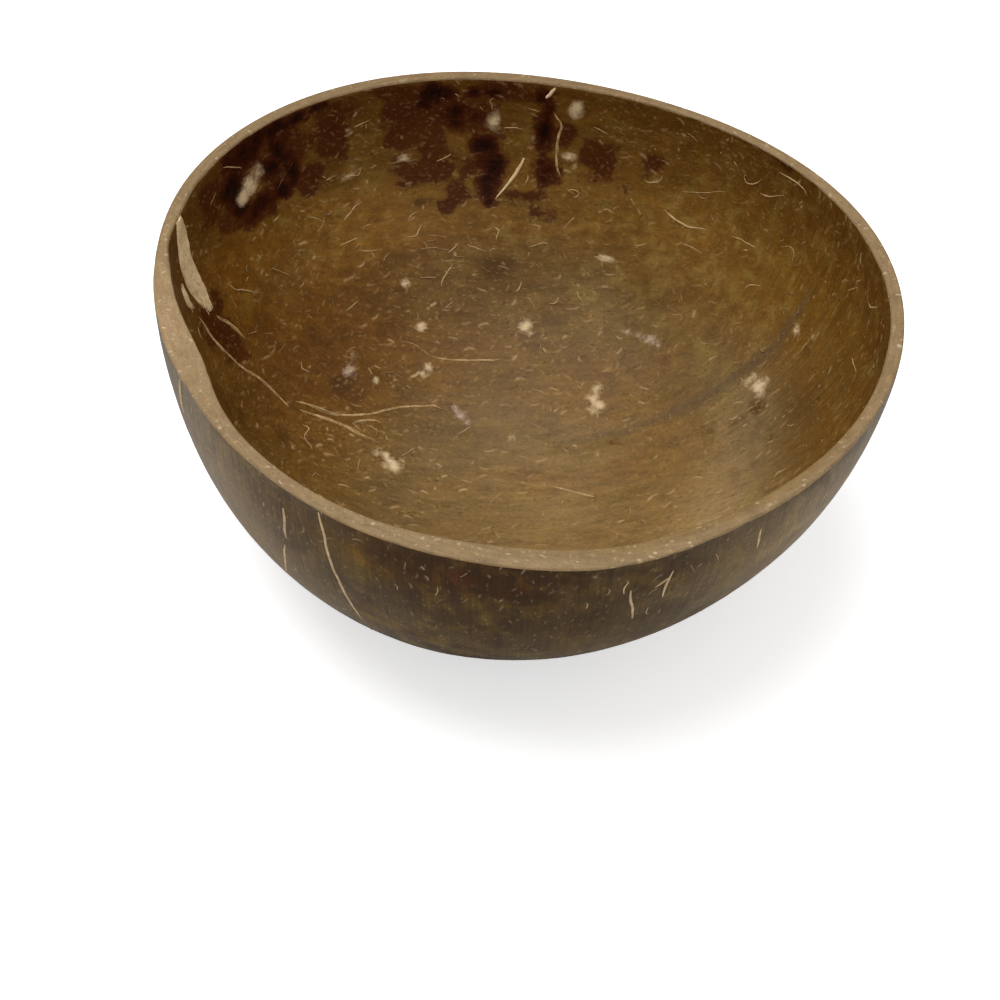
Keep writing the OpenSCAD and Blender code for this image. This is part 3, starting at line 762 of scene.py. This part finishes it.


# What the finishes read at a place: its marks, its painted light and tint, and the way that its grain lies
def paintAt(part, value, azimuth):
    if part == "inside":
        stain, pale, paintedGreyShade, paintedGlint, shadow, red = [
            markAt(kind, azimuth, value) for kind in ("stain", "pale", "paintedGreyShade", "paintedGlint", "shadow", "red")]
        return {
            "tone": (stain, pale, paintedGreyShade, litAt(azimuth, value)),
            "spots": (paintedGlint, uprightAt(azimuth, value), shadow, red),
            "paintedLightAndTint": paintedLightAndTintAt(part, azimuth, value), "lay": layAt(azimuth, value),
        }
    if part == "outside":
        return {
            "tone": (markAt("outsideStain", azimuth, value), paintedSheenAt(azimuth, value), 0.0, 0.0),
            "paintedLightAndTint": paintedLightAndTintAt(part, azimuth, value),
            "lay": skinFrame(azimuth, value, False)[0] * lie["outsidePull"],
        }
    if part == "ground":
        return {"paintedLightAndTint": (1.0, 1.0, 1.0, 1.0)}
    band = between(value, *shellShape["innerBand"])
    whole, inner = [paintedLightAndTintAt(kind, azimuth, shellShape["rimLevel"]) for kind in ("rim", "rimBand")]
    # streaks follow the rim, so this moves the noise quickly from the outer edge to the inner
    return {
        "paintedLightAndTint": [a * (1 + (b - 1) * band) for a, b in zip(whole, inner)],
        "lay": Vector((value, 0, value)) * shellShape["rimStreaks"],
    }


# The shell is a grid wrapped round the profile: one side goes round, the other from ground to floor
def makeShell():
    rings = shellRings()
    around, last = shellShape["around"], len(rings) - 1
    bpy.ops.mesh.primitive_grid_add(x_subdivisions=around, y_subdivisions=last, size=2)
    shell = bpy.context.object
    shell.name = "coconutShell"
    mesh = shell.data
    paint = {"tone": {}, "spots": {}, "paintedLightAndTint": {}, "lay": {}}
    for vertex in mesh.vertices:
        step = round((vertex.co.x + 1) / 2 * around)
        part, value = rings[round((vertex.co.y + 1) / 2 * last)]
        azimuth = (step % around) * 360 / around
        vertex.co = ringPoint(part, value, azimuth) * mm
        for name, amount in paintAt(part, value, azimuth).items():
            paint[name][vertex.index] = amount
    for name, amounts in paint.items():
        way = name == "lay"
        layers = mesh.attributes if way else mesh.color_attributes
        layer = layers.new(name, "FLOAT_VECTOR" if way else "FLOAT_COLOR", "POINT")
        for index, amount in amounts.items():
            setattr(layer.data[index], "vector" if way else "color", amount)
    slots = ["outside", "rim", "inside", "ground"]
    for key in slots:
        mesh.materials.append(finishes[key])
    grid = mesh.uv_layers.active.data
    for face in mesh.polygons:
        row = int(sum(grid[k].uv.y for k in face.loop_indices) / len(face.loop_indices) * last)
        below, above = rings[row][0], rings[min(row + 1, last)][0]
        part = "rim" if "rim" in (below, above) else above if below == "ground" else below
        face.material_index = slots.index(part)
    bpy.ops.object.mode_set(mode="EDIT")
    bpy.ops.mesh.select_all(action="SELECT")
    bpy.ops.mesh.remove_doubles(threshold=0.000002)
    bpy.ops.mesh.dissolve_degenerate(threshold=0.000001)
    bpy.ops.mesh.normals_make_consistent(inside=False)
    bpy.ops.mesh.faces_shade_smooth()
    bpy.ops.object.mode_set(mode="OBJECT")
    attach(shell, "root")
    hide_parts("shell")
    print("shell modelled:", len(mesh.vertices), "vertices")


makeShell()


# Fibres are curves on the skin, each with its own radius from end to end, turned into one closed mesh
def fibrePiece(name, strands, finish, smooth=True):
    bpy.ops.object.select_all(action="DESELECT")
    line = bpy.data.curves.new(name, "CURVE")
    line.dimensions = "3D"
    line.bevel_depth = 1.0
    line.bevel_resolution = 1 if smooth else 0
    line.resolution_u = 2 if smooth else 1
    line.use_fill_caps = True
    for strand in strands:
        spline = line.splines.new("POLY")
        spline.points.add(len(strand) - 1)
        for point, (place, radius) in zip(spline.points, strand):
            point.co = (*(place * mm), 1)
            point.radius = radius * mm
    piece = bpy.data.objects.new(name, line)
    bpy.context.scene.collection.objects.link(piece)
    piece.select_set(True)
    bpy.context.view_layer.objects.active = piece
    bpy.ops.object.convert(target="MESH")
    piece = bpy.context.object
    piece.data.materials.clear()
    piece.data.materials.append(finish)
    if smooth:
        bpy.ops.object.shade_smooth()
    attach(piece, "root")
    return piece


def strandAlong(route, inside, radius, lift, shift=0.0, wobble=0.0, seed=0, steps=5):
    strand = []
    drift = Vector((seed * 3.7, seed * 1.3, 0))
    for azimuth, latitude, share in smoothRoute(route, steps):
        up, along, out = skinFrame(azimuth, latitude, inside)
        here = skinPoint(azimuth, latitude, inside)
        # a slow sway and a quick one
        sway = noise.noise_vector(here / 4.0 + drift) * wobble
        sway += noise.noise_vector(here / 1.3 + drift) * wobble * 0.6
        place = here + along * (shift + sway.x) + up * sway.y + out * lift
        strand.append((place, max(radius * share, 0.03)))
    return strand


# The fibres that the CAD part holds: node, finish, radius, and route as azimuth, latitude and share of radius
threads = {
    "seamThread": ("seam_thread", "thread", 0.27, [
        (165, 68, 0.4), (164.2, 65, 0.8), (163.8, 61.5, 1), (163, 57.5, 1), (161.8, 52.5, 1), (159.8, 48, 1),
        (159, 44, 1), (159, 39.5, 0.3)]),
    "seamUpperThread": ("seam_upper_thread", "thread", 0.26, [
        (159.8, 63.5, 0.3), (159, 61.7, 0.9), (157.2, 59.1, 1), (156.2, 56.6, 1), (155.6, 53.6, 0.3)]),
    "seamTailThread": ("seam_tail_thread", "thread", 0.25, [
        (157.5, 37.5, 0.3), (155.5, 34.5, 1), (152.5, 31, 1), (151, 28.7, 1), (149.5, 25.8, 0.8),
        (147, 23, 0.3)]),
    "floorThread": ("floor_thread", "thread", 0.23, [
        (156.3, 38.8, 0.3), (154, 36.3, 0.9), (150.5, 32, 1), (147, 29.6, 1), (143.5, 28, 0.9),
        (139.5, 26.6, 0.8), (135, 25.9, 0.9), (127.5, 24.7, 1), (121.5, 23.5, 1), (116.5, 22.8, 0.8),
        (113.5, 21.3, 0.3)]),
    "backFloorThread": ("back_floor_thread", "thread", 0.22, [
        (121, 37, 0.3), (116, 35.5, 0.9), (112, 32.5, 1), (106, 31, 1), (98, 30.5, 1), (92, 30.5, 0.8),
        (88, 31.5, 0.3)]),
    "backRimThread": ("back_rim_thread", "husk", 0.40, [
        (83.5, 84.5, 0.6), (84, 83.8, 1), (85, 82.5, 1), (85.4, 81.9, 0.3)]),
    "backSeamThread": ("back_seam_thread", "thread", 0.28, [
        (84.2, 80.7, 0.3), (83.2, 79, 0.9), (82, 77.3, 1), (82.4, 75, 1), (82.5, 72.6, 1), (82.1, 69.5, 0.9),
        (80.5, 66.2, 0.3)]),
    "backSpike": ("back_spike", "husk", 0.42, [
        (88.5, 70, 0.5), (89.5, 67.5, 1), (91, 65, 0.8), (93.5, 61.5, 0.3)]),
    "rightThread": ("right_thread", "thread", 0.27, [
        (59.5, 66, 0.3), (57, 65, 1), (53, 64.5, 1), (49, 65.5, 0.3)]),
    "frontFloorThread": ("front_floor_thread", "thread", 0.24, [
        (40, 8, 0.3), (24, 10.5, 0.9), (14, 12.5, 1), (8, 14.5, 0.3)]),
    "ridgeBristle": ("ridge_bristle", "bristle", 0.34, [
        (199.5, 85, 0.3), (199, 83, 1), (198.5, 80, 1), (198, 77, 0.3)]),
    "leftBristle": ("left_bristle", "bristle", 0.34, [
        (230, 81.3, 0.6), (230, 79, 1), (229.6, 76.3, 1), (229.5, 74.1, 0.5)]),
    "leftLowerBristle": ("left_lower_bristle", "bristle", 0.34, [
        (229.1, 72.9, 0.5), (228.2, 69.5, 1), (227, 65.1, 0.9), (224.5, 58.5, 0.3)]),
    "frontBristle": ("front_bristle", "bristle", 0.32, [
        (237.5, 85, 0.5), (238.3, 81, 1), (239, 76, 1), (240.3, 70, 1), (241.8, 63, 0.9), (243, 56, 0.3)]),
    "rightBristle": ("right_bristle", "bristle", 0.30, [
        (306.5, 82.5, 0.3), (306.6, 80.6, 1), (306.8, 79, 0.9), (307, 77.3, 0.3)]),
    "lowerBristle": ("lower_bristle", "bristle", 0.30, [
        (285.6, 79.2, 0.5), (285.9, 77, 1), (286.5, 75, 1), (287, 73, 1), (287.6, 70.4, 0.5)]),
}
forkRoutes = [
    [(291.7, 81.5, 0.4), (291.3, 79.5, 1), (291.1, 77.4, 1), (291.3, 74.2, 0.3)],
    [(291.4, 80.1, 0.5), (290.4, 79.4, 0.9), (289.4, 78.5, 0.3)],
]
threadLook = {"sunk": 0.10, "wobble": 0.18, "hairs": 2, "hairShare": 0.45, "hairSide": 0.8, "forkRadius": 0.3,
              "forkSunk": 0.08}


def makeThreads():
    look = threadLook
    for number, (name, (node, finish, radius, route)) in enumerate(threads.items()):
        inside, sunk = finish != "bristle", -look["sunk"]
        strands = [strandAlong(route, inside, radius, sunk, 0, look["wobble"], number)]
        # thinner hairs lie along the main thread
        for hair in range(look["hairs"] if finish == "thread" else 0):
            side = (hair * 2 - 1) * radius * look["hairSide"]
            part = route[hair:len(route) - 1 + hair]
            strands.append(strandAlong(part, inside, radius * look["hairShare"], sunk / 2, side,
                                       look["wobble"] * 2, number + 20 + hair))
        piece = fibrePiece(name, strands, finishes[finish])
        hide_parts(node)
    strands = [strandAlong(route, False, look["forkRadius"], -look["forkSunk"]) for route in forkRoutes]
    fork = fibrePiece("forkedBristle", strands, finishes["bristle"])
    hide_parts("forked_bristle")
    print("threads and bristles laid")


makeThreads()

# Single fibres too thin for the CAD part: routes as azimuth and latitude
strays = {
    "innerStrays": {"inside": True, "finish": "thread", "slot": "thread", "radius": 0.16, "routes": [
        [(148.5, 27.8), (144, 26.6), (139.5, 24.9)],
        [(161, 35.8), (160.5, 34.2), (164.5, 34.4), (166, 33), (167, 31.5)],
        [(80, 64.3), (78.5, 65), (77, 64.8), (77.5, 63.6), (79, 64)],
        [(64.5, 70.4), (63.5, 70), (61.5, 70.7), (61, 72.1)], [(141, 60), (139.5, 58.4), (138, 56.9)],
        [(125.5, 57.6), (123, 57.6), (121.5, 57.6)],
        [(136.5, 37.2), (134, 38.7), (131.5, 38.7), (130, 37.7)], [(139, 36.1), (137, 35.8), (134.5, 35.3)],
        [(131, 34.9), (131, 33.4), (131, 31.8)], [(105.5, 45.3), (105, 46.5), (103.5, 48.2), (102.5, 49.3)],
        [(88, 43.9), (87, 44.4), (86.5, 45.3), (86.5, 46.3)], [(93, 53.8), (92.5, 55.5), (93.5, 56.5)],
        [(92.5, 55.5), (91.5, 56.7)], [(63, 57.2), (61.5, 57.9), (60.5, 58.8)],
        [(2.5, 69), (0.5, 69), (-1.5, 69.3)], [(23, 75.7), (23, 76.9)], [(49, 47.9), (46.5, 48.4)],
        [(33, 70), (31, 71.4), (29.5, 70.9), (29, 68.3)], [(145, 82.8), (143, 81.6), (141, 80.2)],
        [(125.5, 70.2), (124.5, 70.2), (123.5, 70.4)],
        [(122.5, 69.5), (120.5, 69.3), (119, 69.3), (118.5, 70.4)],
        [(105.5, 69), (104, 69.5), (102.5, 70.2), (101.5, 71.4)], [(88, 64.5), (87.5, 65.7), (87.5, 66.7)],
        [(123.5, 61.7), (122, 62.6), (120.5, 63.6), (119, 64)], [(169, 22.8), (162.5, 23.2), (157.5, 23.5)],
        [(265, 3.6), (276, 4.7)], [(349, 47.9), (350, 48.6), (350, 49.3)], [(0, 33.7), (2.5, 34.4)],
        [(7, 77.6), (5, 78), (3, 80.2)], [(129, 61.4), (128, 62.1), (127, 62.9)],
    ]},
    "faintStrays": {"inside": True, "finish": "hair", "slot": "thread", "radius": 0.15, "routes": [
        [(57, 70.4), (52.5, 71.6), (48, 73.8)], [(38, 82.5), (35.5, 82.8), (32.5, 82.8), (31, 82.1)],
        [(152.5, 64.5), (151, 62.1), (149, 60.5), (146.5, 58.1)], [(122, 55.5), (120, 54.6), (117.5, 54.6)],
        [(120, 58.4), (119.5, 59.3), (117.5, 59.5)], [(135.5, 55), (135, 55.7)], [(148, 61.7), (147, 61.9)],
        [(134.5, 61), (134.5, 62.4)], [(142, 63.1), (141.5, 64.5)], [(137.5, 48.9), (138, 48.4), (137, 47)],
        [(130, 45.5), (127.5, 46), (124.5, 46.7)], [(146.5, 42.7), (147.5, 41.7), (146.5, 40.1)],
        [(150, 47), (147, 47.4)], [(53.5, 61), (50.5, 61), (47.5, 61)],
        [(43.5, 66.7), (40.5, 66.9), (38, 67.1)], [(41, 76.9), (39, 77.1), (36, 79.2)],
        [(45, 78), (44, 77.3), (42, 78.5), (41.5, 79.7)], [(32, 79.5), (31, 77.8)],
        [(29, 72.6), (28.5, 74), (27.5, 75)], [(36, 58.4), (35.5, 60.2), (33, 61.9)],
        [(14, 74), (13, 75.4), (11.5, 77.1)], [(15, 58.6), (15.5, 60.2), (15, 61.9)],
        [(10.5, 63.3), (10.5, 65)], [(37.5, 46.5), (34.5, 47.4)], [(3.5, 50.5), (1.5, 51.5), (1, 52.7)],
        [(130, 76.6), (132, 75), (134, 73.1), (136, 71.6)],
        [(120, 77.8), (118.5, 78.3), (117, 78.7), (115, 79.2)],
        [(148, 28), (144.5, 27), (141, 25.6), (139.5, 24.4)], [(145, 17.6), (141, 17.3), (136, 17.3)],
        [(113, 16.4), (108, 16.8), (104, 17.6)], [(109.5, 1.9), (94, 2.8), (80.5, 3.6)],
        [(190.5, 10), (185.5, 8.8)], [(111, 58.6), (110, 59.5), (109, 60)],
        [(112, 55.7), (110, 55.5), (109, 56.5), (108.5, 57.4)], [(107.5, 55.3), (103.5, 54.8)],
        [(109, 52.9), (105.5, 52.7)], [(103.5, 51.5), (102.5, 52.2), (101, 53.1)],
        [(99, 53.1), (97, 52.2), (95, 51.7)], [(105.5, 41), (104.5, 41.5), (103, 42.2)],
        [(90, 43.9), (89.5, 44.8), (89, 46)], [(85, 43.4), (83.5, 42.7), (82, 41.3)],
        [(91, 41.7), (90.5, 39.8)], [(78.5, 42.5), (77, 42.9), (76.5, 44.1)],
        [(78.5, 57.6), (77.5, 59.1), (76.5, 60.2)], [(72, 61.4), (71, 62.6), (70, 62.6), (68.5, 62.1)],
        [(59.5, 52.4), (58, 49.8)], [(85.5, 52.9), (83.5, 53.6), (81.5, 54.1)],
        [(130, 64.8), (128.5, 63.8), (127, 62.6)], [(110.5, 59.3), (110, 61.4)], [(97, 79.7), (95.5, 78)],
        [(89, 79.9), (87.5, 79.7), (85.5, 79.5)], [(76.5, 78), (74.5, 77.6), (73, 77.3)],
        [(78, 57.9), (77.5, 59.1), (76.5, 60.2)], [(73, 61.2), (72, 61.9), (70.5, 62.6)],
        [(93.5, 75.7), (91, 75.7), (88.5, 75.7)], [(81, 66.2), (79.5, 65), (76.5, 63.6), (74, 63.1)],
        [(150, 79), (148, 79.9)],
    ]},
    "outerStrays": {"inside": False, "finish": "bristle", "slot": "bristle", "radius": 0.15, "routes": [
        [(289.5, 73.5), (289.5, 71.5), (290, 70.4)], [(292, 71.1), (292, 69.6)],
        [(285, 81.5), (284.6, 80), (284.8, 78.8)],
    ]},
    "faintOuterStrays": {"inside": False, "finish": "hair", "slot": "bristle", "radius": 0.15, "routes": [
        [(250.5, 76.6), (251, 75.8), (251, 74.6)], [(252.5, 82.3), (252.5, 80.8)],
        [(257.5, 78.9), (257.5, 77.5), (257, 75.8)], [(260.5, 76.3), (260.5, 74.4)], [(261, 82), (262, 83)],
        [(279, 78.7), (279.5, 77), (279, 75.1)], [(277, 73.2), (276.5, 70.8)], [(281.5, 64.9), (282, 66.5)],
        [(267, 81.1), (267.5, 81.1)], [(245, 79.2), (245.5, 77.7)], [(242, 80.4), (242.5, 78.7)],
        [(281, 81.8), (281.5, 80.1)], [(294.5, 81.3), (295.5, 79.2)], [(298.5, 81.8), (299.5, 79.7)],
        [(273.5, 78.7), (274.5, 77.7)], [(270.5, 71.1), (271, 72.7)], [(264, 54.9), (265, 56.5)],
    ]},
}
strayLook = {"end": 0.45, "thin": 0.85, "thicker": 0.3, "sunk": 0.4, "wobble": 0.25}


def makeStrays():
    look = strayLook
    for name, spec in strays.items():
        strands = []
        for number, route in enumerate(spec["routes"]):
            # thin ends, and every fibre a little thinner or thicker than the next
            ends = (0, len(route) - 1)
            tapered = [(*point, look["end"] if place in ends else 1.0) for place, point in enumerate(route)]
            radius = spec["radius"] * (look["thin"] + look["thicker"] * abs(math.sin(number * 2.4)))
            strands.append(strandAlong(tapered, spec["inside"], radius, -radius * look["sunk"], 0,
                                       look["wobble"], number + 60))
        piece = fibrePiece(name, strands, finishes[spec["finish"]])
    print("stray fibres laid")


makeStrays()

# The pale strip in the left seam and the shred beside it are bundles of frayed strands
bundles = {
    "seamStrip": {
        "node": "seam_strip", "count": 46, "width": 5.3, "radius": 0.20, "lift": 0.04, "fray": 0.5,
        "crown": 0.22, "route": [
            (161.2, 84.7, 0.45), (161.3, 82.5, 0.75), (161.5, 80, 0.88), (162, 77, 1), (162, 74.5, 1),
            (161.5, 72, 1), (161, 69.3, 0.85), (160.5, 66.9, 0.6), (160.3, 64.6, 0.45)]},
    "seamShred": {
        "node": "seam_shred", "count": 11, "width": 1.8, "radius": 0.15, "lift": 0.0, "fray": 0.7,
        "crown": 0.22, "route": [(166, 75.2, 0.3), (166, 73, 1), (166, 71.2, 0.9), (165.2, 69, 0.3)]},
}


# One strand of a bundle, at an offset from -1 to 1 across it
def bundleStrand(spec, path, number):
    offset = (number + 0.5) / spec["count"] * 2 - 1
    first = random.randint(0, int(len(path) * 0.2)) if number % 3 else 0
    last = len(path) - random.randint(0, int(len(path) * (0.08 + 0.30 * abs(offset))))
    strand = []
    for j in range(first, last):
        azimuth, latitude, share = path[j]
        up, along, out = skinFrame(azimuth, latitude, True)
        here = skinPoint(azimuth, latitude, True)
        sway = noise.noise(here / 3.5 + Vector((number * 2.1, 0, 0))) * 0.35
        rise = noise.noise(here / 2.0 + Vector((0, number * 1.7, 0))) * 0.18
        rise += spec["lift"] + spec["crown"] * (1 - offset ** 2)
        taper = min(1.0, (j - first + 1) / 3, (last - j) / 4)
        # the ends fray: the strands drift apart where the bundle runs out
        loose = spec["fray"] * (j / (len(path) - 1)) ** 4 * math.sin(number * 2.4)
        place = here + along * (offset * spec["width"] / 2 * share + sway + loose) + out * rise
        strand.append((place, spec["radius"] * (0.35 + 0.65 * taper)))
    return strand


def makeBundles():
    for name, spec in bundles.items():
        random.seed(len(name) + spec["count"])
        path = smoothRoute(spec["route"], 5)
        strands = [bundleStrand(spec, path, number) for number in range(spec["count"])]
        piece = fibrePiece(name, [strand for strand in strands if len(strand) > 3], finishes["husk"])
        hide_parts(spec["node"])
    print("seam strip and shred laid")


makeBundles()

# Loose flecks: the fibres of the shell that the sanding cut open
flecks = {
    "insideFlecks": {"inside": True, "count": 700, "lengths": (0.7, 3.0), "radii": (0.11, 0.22), "curl": 1.8,
                     "seed": 11, "finish": "fleck", "lowest": 0.02},
    "insideHairs": {"inside": True, "count": 260, "lengths": (0.8, 3.4), "radii": (0.10, 0.20), "curl": 1.6,
                    "seed": 5, "finish": "hair", "lowest": 0.02},
    "outsideFlecks": {"inside": False, "count": 130, "lengths": (0.5, 2.4), "radii": (0.06, 0.13),
                      "curl": 2.4, "seed": 23, "finish": "fleck", "lowest": 0.12},
}
# Flecks crowd round two azimuths, each with a spread and an amount, and are cleared from the stains
crowding = {"size": 11.0, "rimGap": 1.5, "topGap": 2, "spots": ((118, 30, 0.35), (5, 24, 0.3)), "limit": 0.35,
            "stain": 0.4, "cleared": 0.8}


def fleckStrand(azimuth, latitude, inside, length, radius, heading, curl, steps=4):
    strand = []
    for k in range(steps + 1):
        alongSize, upSize = degreeSize(azimuth, latitude, inside)
        out = skinFrame(azimuth, latitude, inside)[2]
        taper = 0.35 + 0.65 * math.sin(math.pi * min(max(k / steps, 0.08), 0.92))
        strand.append((skinPoint(azimuth, latitude, inside) - out * radius * 0.45, radius * taper))
        azimuth += length / steps * math.cos(heading) / alongSize
        latitude += length / steps * math.sin(heading) / upSize
        heading += curl / steps
    return strand


# The way that a fleck points: mostly along the fibres inside, and up the wall outside
def fleckHeading(azimuth, latitude, inside):
    heading = math.pi / 2 + random.gauss(0, 0.45)
    if inside:
        up, along, out = skinFrame(azimuth, latitude, True)
        turn = random.uniform(0, 2 * math.pi)
        aim = layAt(azimuth, latitude) * random.choice((-1, 1))
        aim += (along * math.cos(turn) + up * math.sin(turn)) * 0.4
        heading = math.atan2(aim.dot(up), aim.dot(along))
    return heading


# Fibres that lie across each pale spot
def blotchFibres():
    strands = []
    for at, level, halfAlong, halfUp, strength in marks["pale"]:
        for k in range(int(3 * (halfAlong + halfUp) * strength)):
            spread = random.random() ** 0.6
            turn = random.uniform(0, 2 * math.pi)
            alongSize, upSize = degreeSize(at, level, True)
            azimuth = at + math.cos(turn) * halfAlong * spread * 0.8 / alongSize
            latitude = level + math.sin(turn) * halfUp * spread * 0.8 / upSize
            length, radius = random.uniform(0.5, 1.5), random.uniform(0.10, 0.17)
            heading, curl = random.uniform(0, 2 * math.pi), random.gauss(0, 1.4)
            strands.append(fleckStrand(azimuth, latitude, True, length, radius, heading, curl, 3))
    return strands


def makeFlecks():
    top = latitudeAtHeight(bowl["height"] - crowding["rimGap"], True) - crowding["topGap"]
    rise = 1 - math.cos(math.radians(top))
    for name, spec in flecks.items():
        inside = spec["inside"]
        random.seed(spec["seed"])
        strands = []
        for k in range(spec["count"]):
            # even over the surface, from the floor or the ground edge up
            latitude = math.degrees(math.acos(1 - random.uniform(spec["lowest"], 1) * rise))
            azimuth = random.uniform(0, 360)
            here = skinPoint(azimuth, latitude, inside)
            crowd = noise.noise(here / crowding["size"] + Vector((0, 0, spec["seed"])))
            for at, spread, more in crowding["spots"]:
                crowd += more * bump(azimuth, at, spread)
            if crowd < random.uniform(-crowding["limit"], crowding["limit"]):
                continue
            short, long = spec["lengths"]
            length = short + (long - short) * random.random() ** 2.2
            thin, thick = spec["radii"]
            radius = thin + (thick - thin) * random.random() ** 1.5
            heading = fleckHeading(azimuth, latitude, inside)
            kinds = ("stain", "red") if inside else ("outsideStain",)
            stained = max(markAt(kind, azimuth, latitude) for kind in kinds)
            if stained > crowding["stain"] and random.random() < crowding["cleared"]:
                continue
            curl = random.gauss(0, spec["curl"])
            strands.append(fleckStrand(azimuth, latitude, inside, length, radius, heading, curl))
        if spec["finish"] == "hair":
            strands += blotchFibres()
        piece = fibrePiece(name, strands, finishes[spec["finish"]], smooth=False)
    print("flecks laid")


makeFlecks()

# Pale floor that keeps the shadow, and white behind it
stageLook = {"size": 4.0, "white": (0.93, 0.93, 0.93), "lift": 0.55, "roughness": 0.9, "room": 0.5}


# A strength that differs between what the camera sees and what lights the bowl
def seenOr(tree, seen, lit):
    rays = Wire(tree, addNode(tree, "LightPath").outputs["Is Camera Ray"])
    return rays * (seen - lit) + lit


def makeStage():
    bpy.ops.mesh.primitive_plane_add(size=stageLook["size"], location=(0, 0, 0))
    floor = bpy.context.object
    floor.name = "floor"
    paint, shader, place = newFinish("floorPaint", stageLook["roughness"], specular=0.0)
    shader.inputs["Base Color"].default_value = (*stageLook["white"], 1)
    shader.inputs["Emission Color"].default_value = (1, 1, 1, 1)
    feed(shader.inputs["Emission Strength"], seenOr(place.tree, stageLook["lift"], 0.0))
    floor.data.materials.append(paint)


def makeWorld():
    world = bpy.data.worlds.new("softRoom")
    bpy.context.scene.world = world
    world.use_nodes = True
    sky = world.node_tree.nodes["Background"]
    sky.inputs["Color"].default_value = (1, 1, 1, 1)
    feed(sky.inputs["Strength"], seenOr(world.node_tree, 1.0, stageLook["room"]))


lamps = {
    "overhead": {"place": (-0.16, 0.05, 0.86), "aim": (0, 0, 0.02), "size": 0.80, "power": 6.6},
    "front": {"place": (0.30, -0.80, 0.60), "aim": (0, 0, 0.03), "size": 0.6, "power": 0.8},
}


def makeLamps():
    for name, lamp in lamps.items():
        bpy.ops.object.light_add(type="AREA", location=lamp["place"])
        light = bpy.context.object
        light.name = name + "Lamp"
        light.data.shape = "DISK"
        light.data.size = lamp["size"]
        light.data.energy = lamp["power"]
        aim = Vector(lamp["aim"]) - Vector(lamp["place"])
        light.rotation_euler = aim.to_track_quat("-Z", "Y").to_euler()


makeStage()
makeWorld()
makeLamps()
bpy.context.scene.view_settings.view_transform = "Standard"
print("stage and light set")
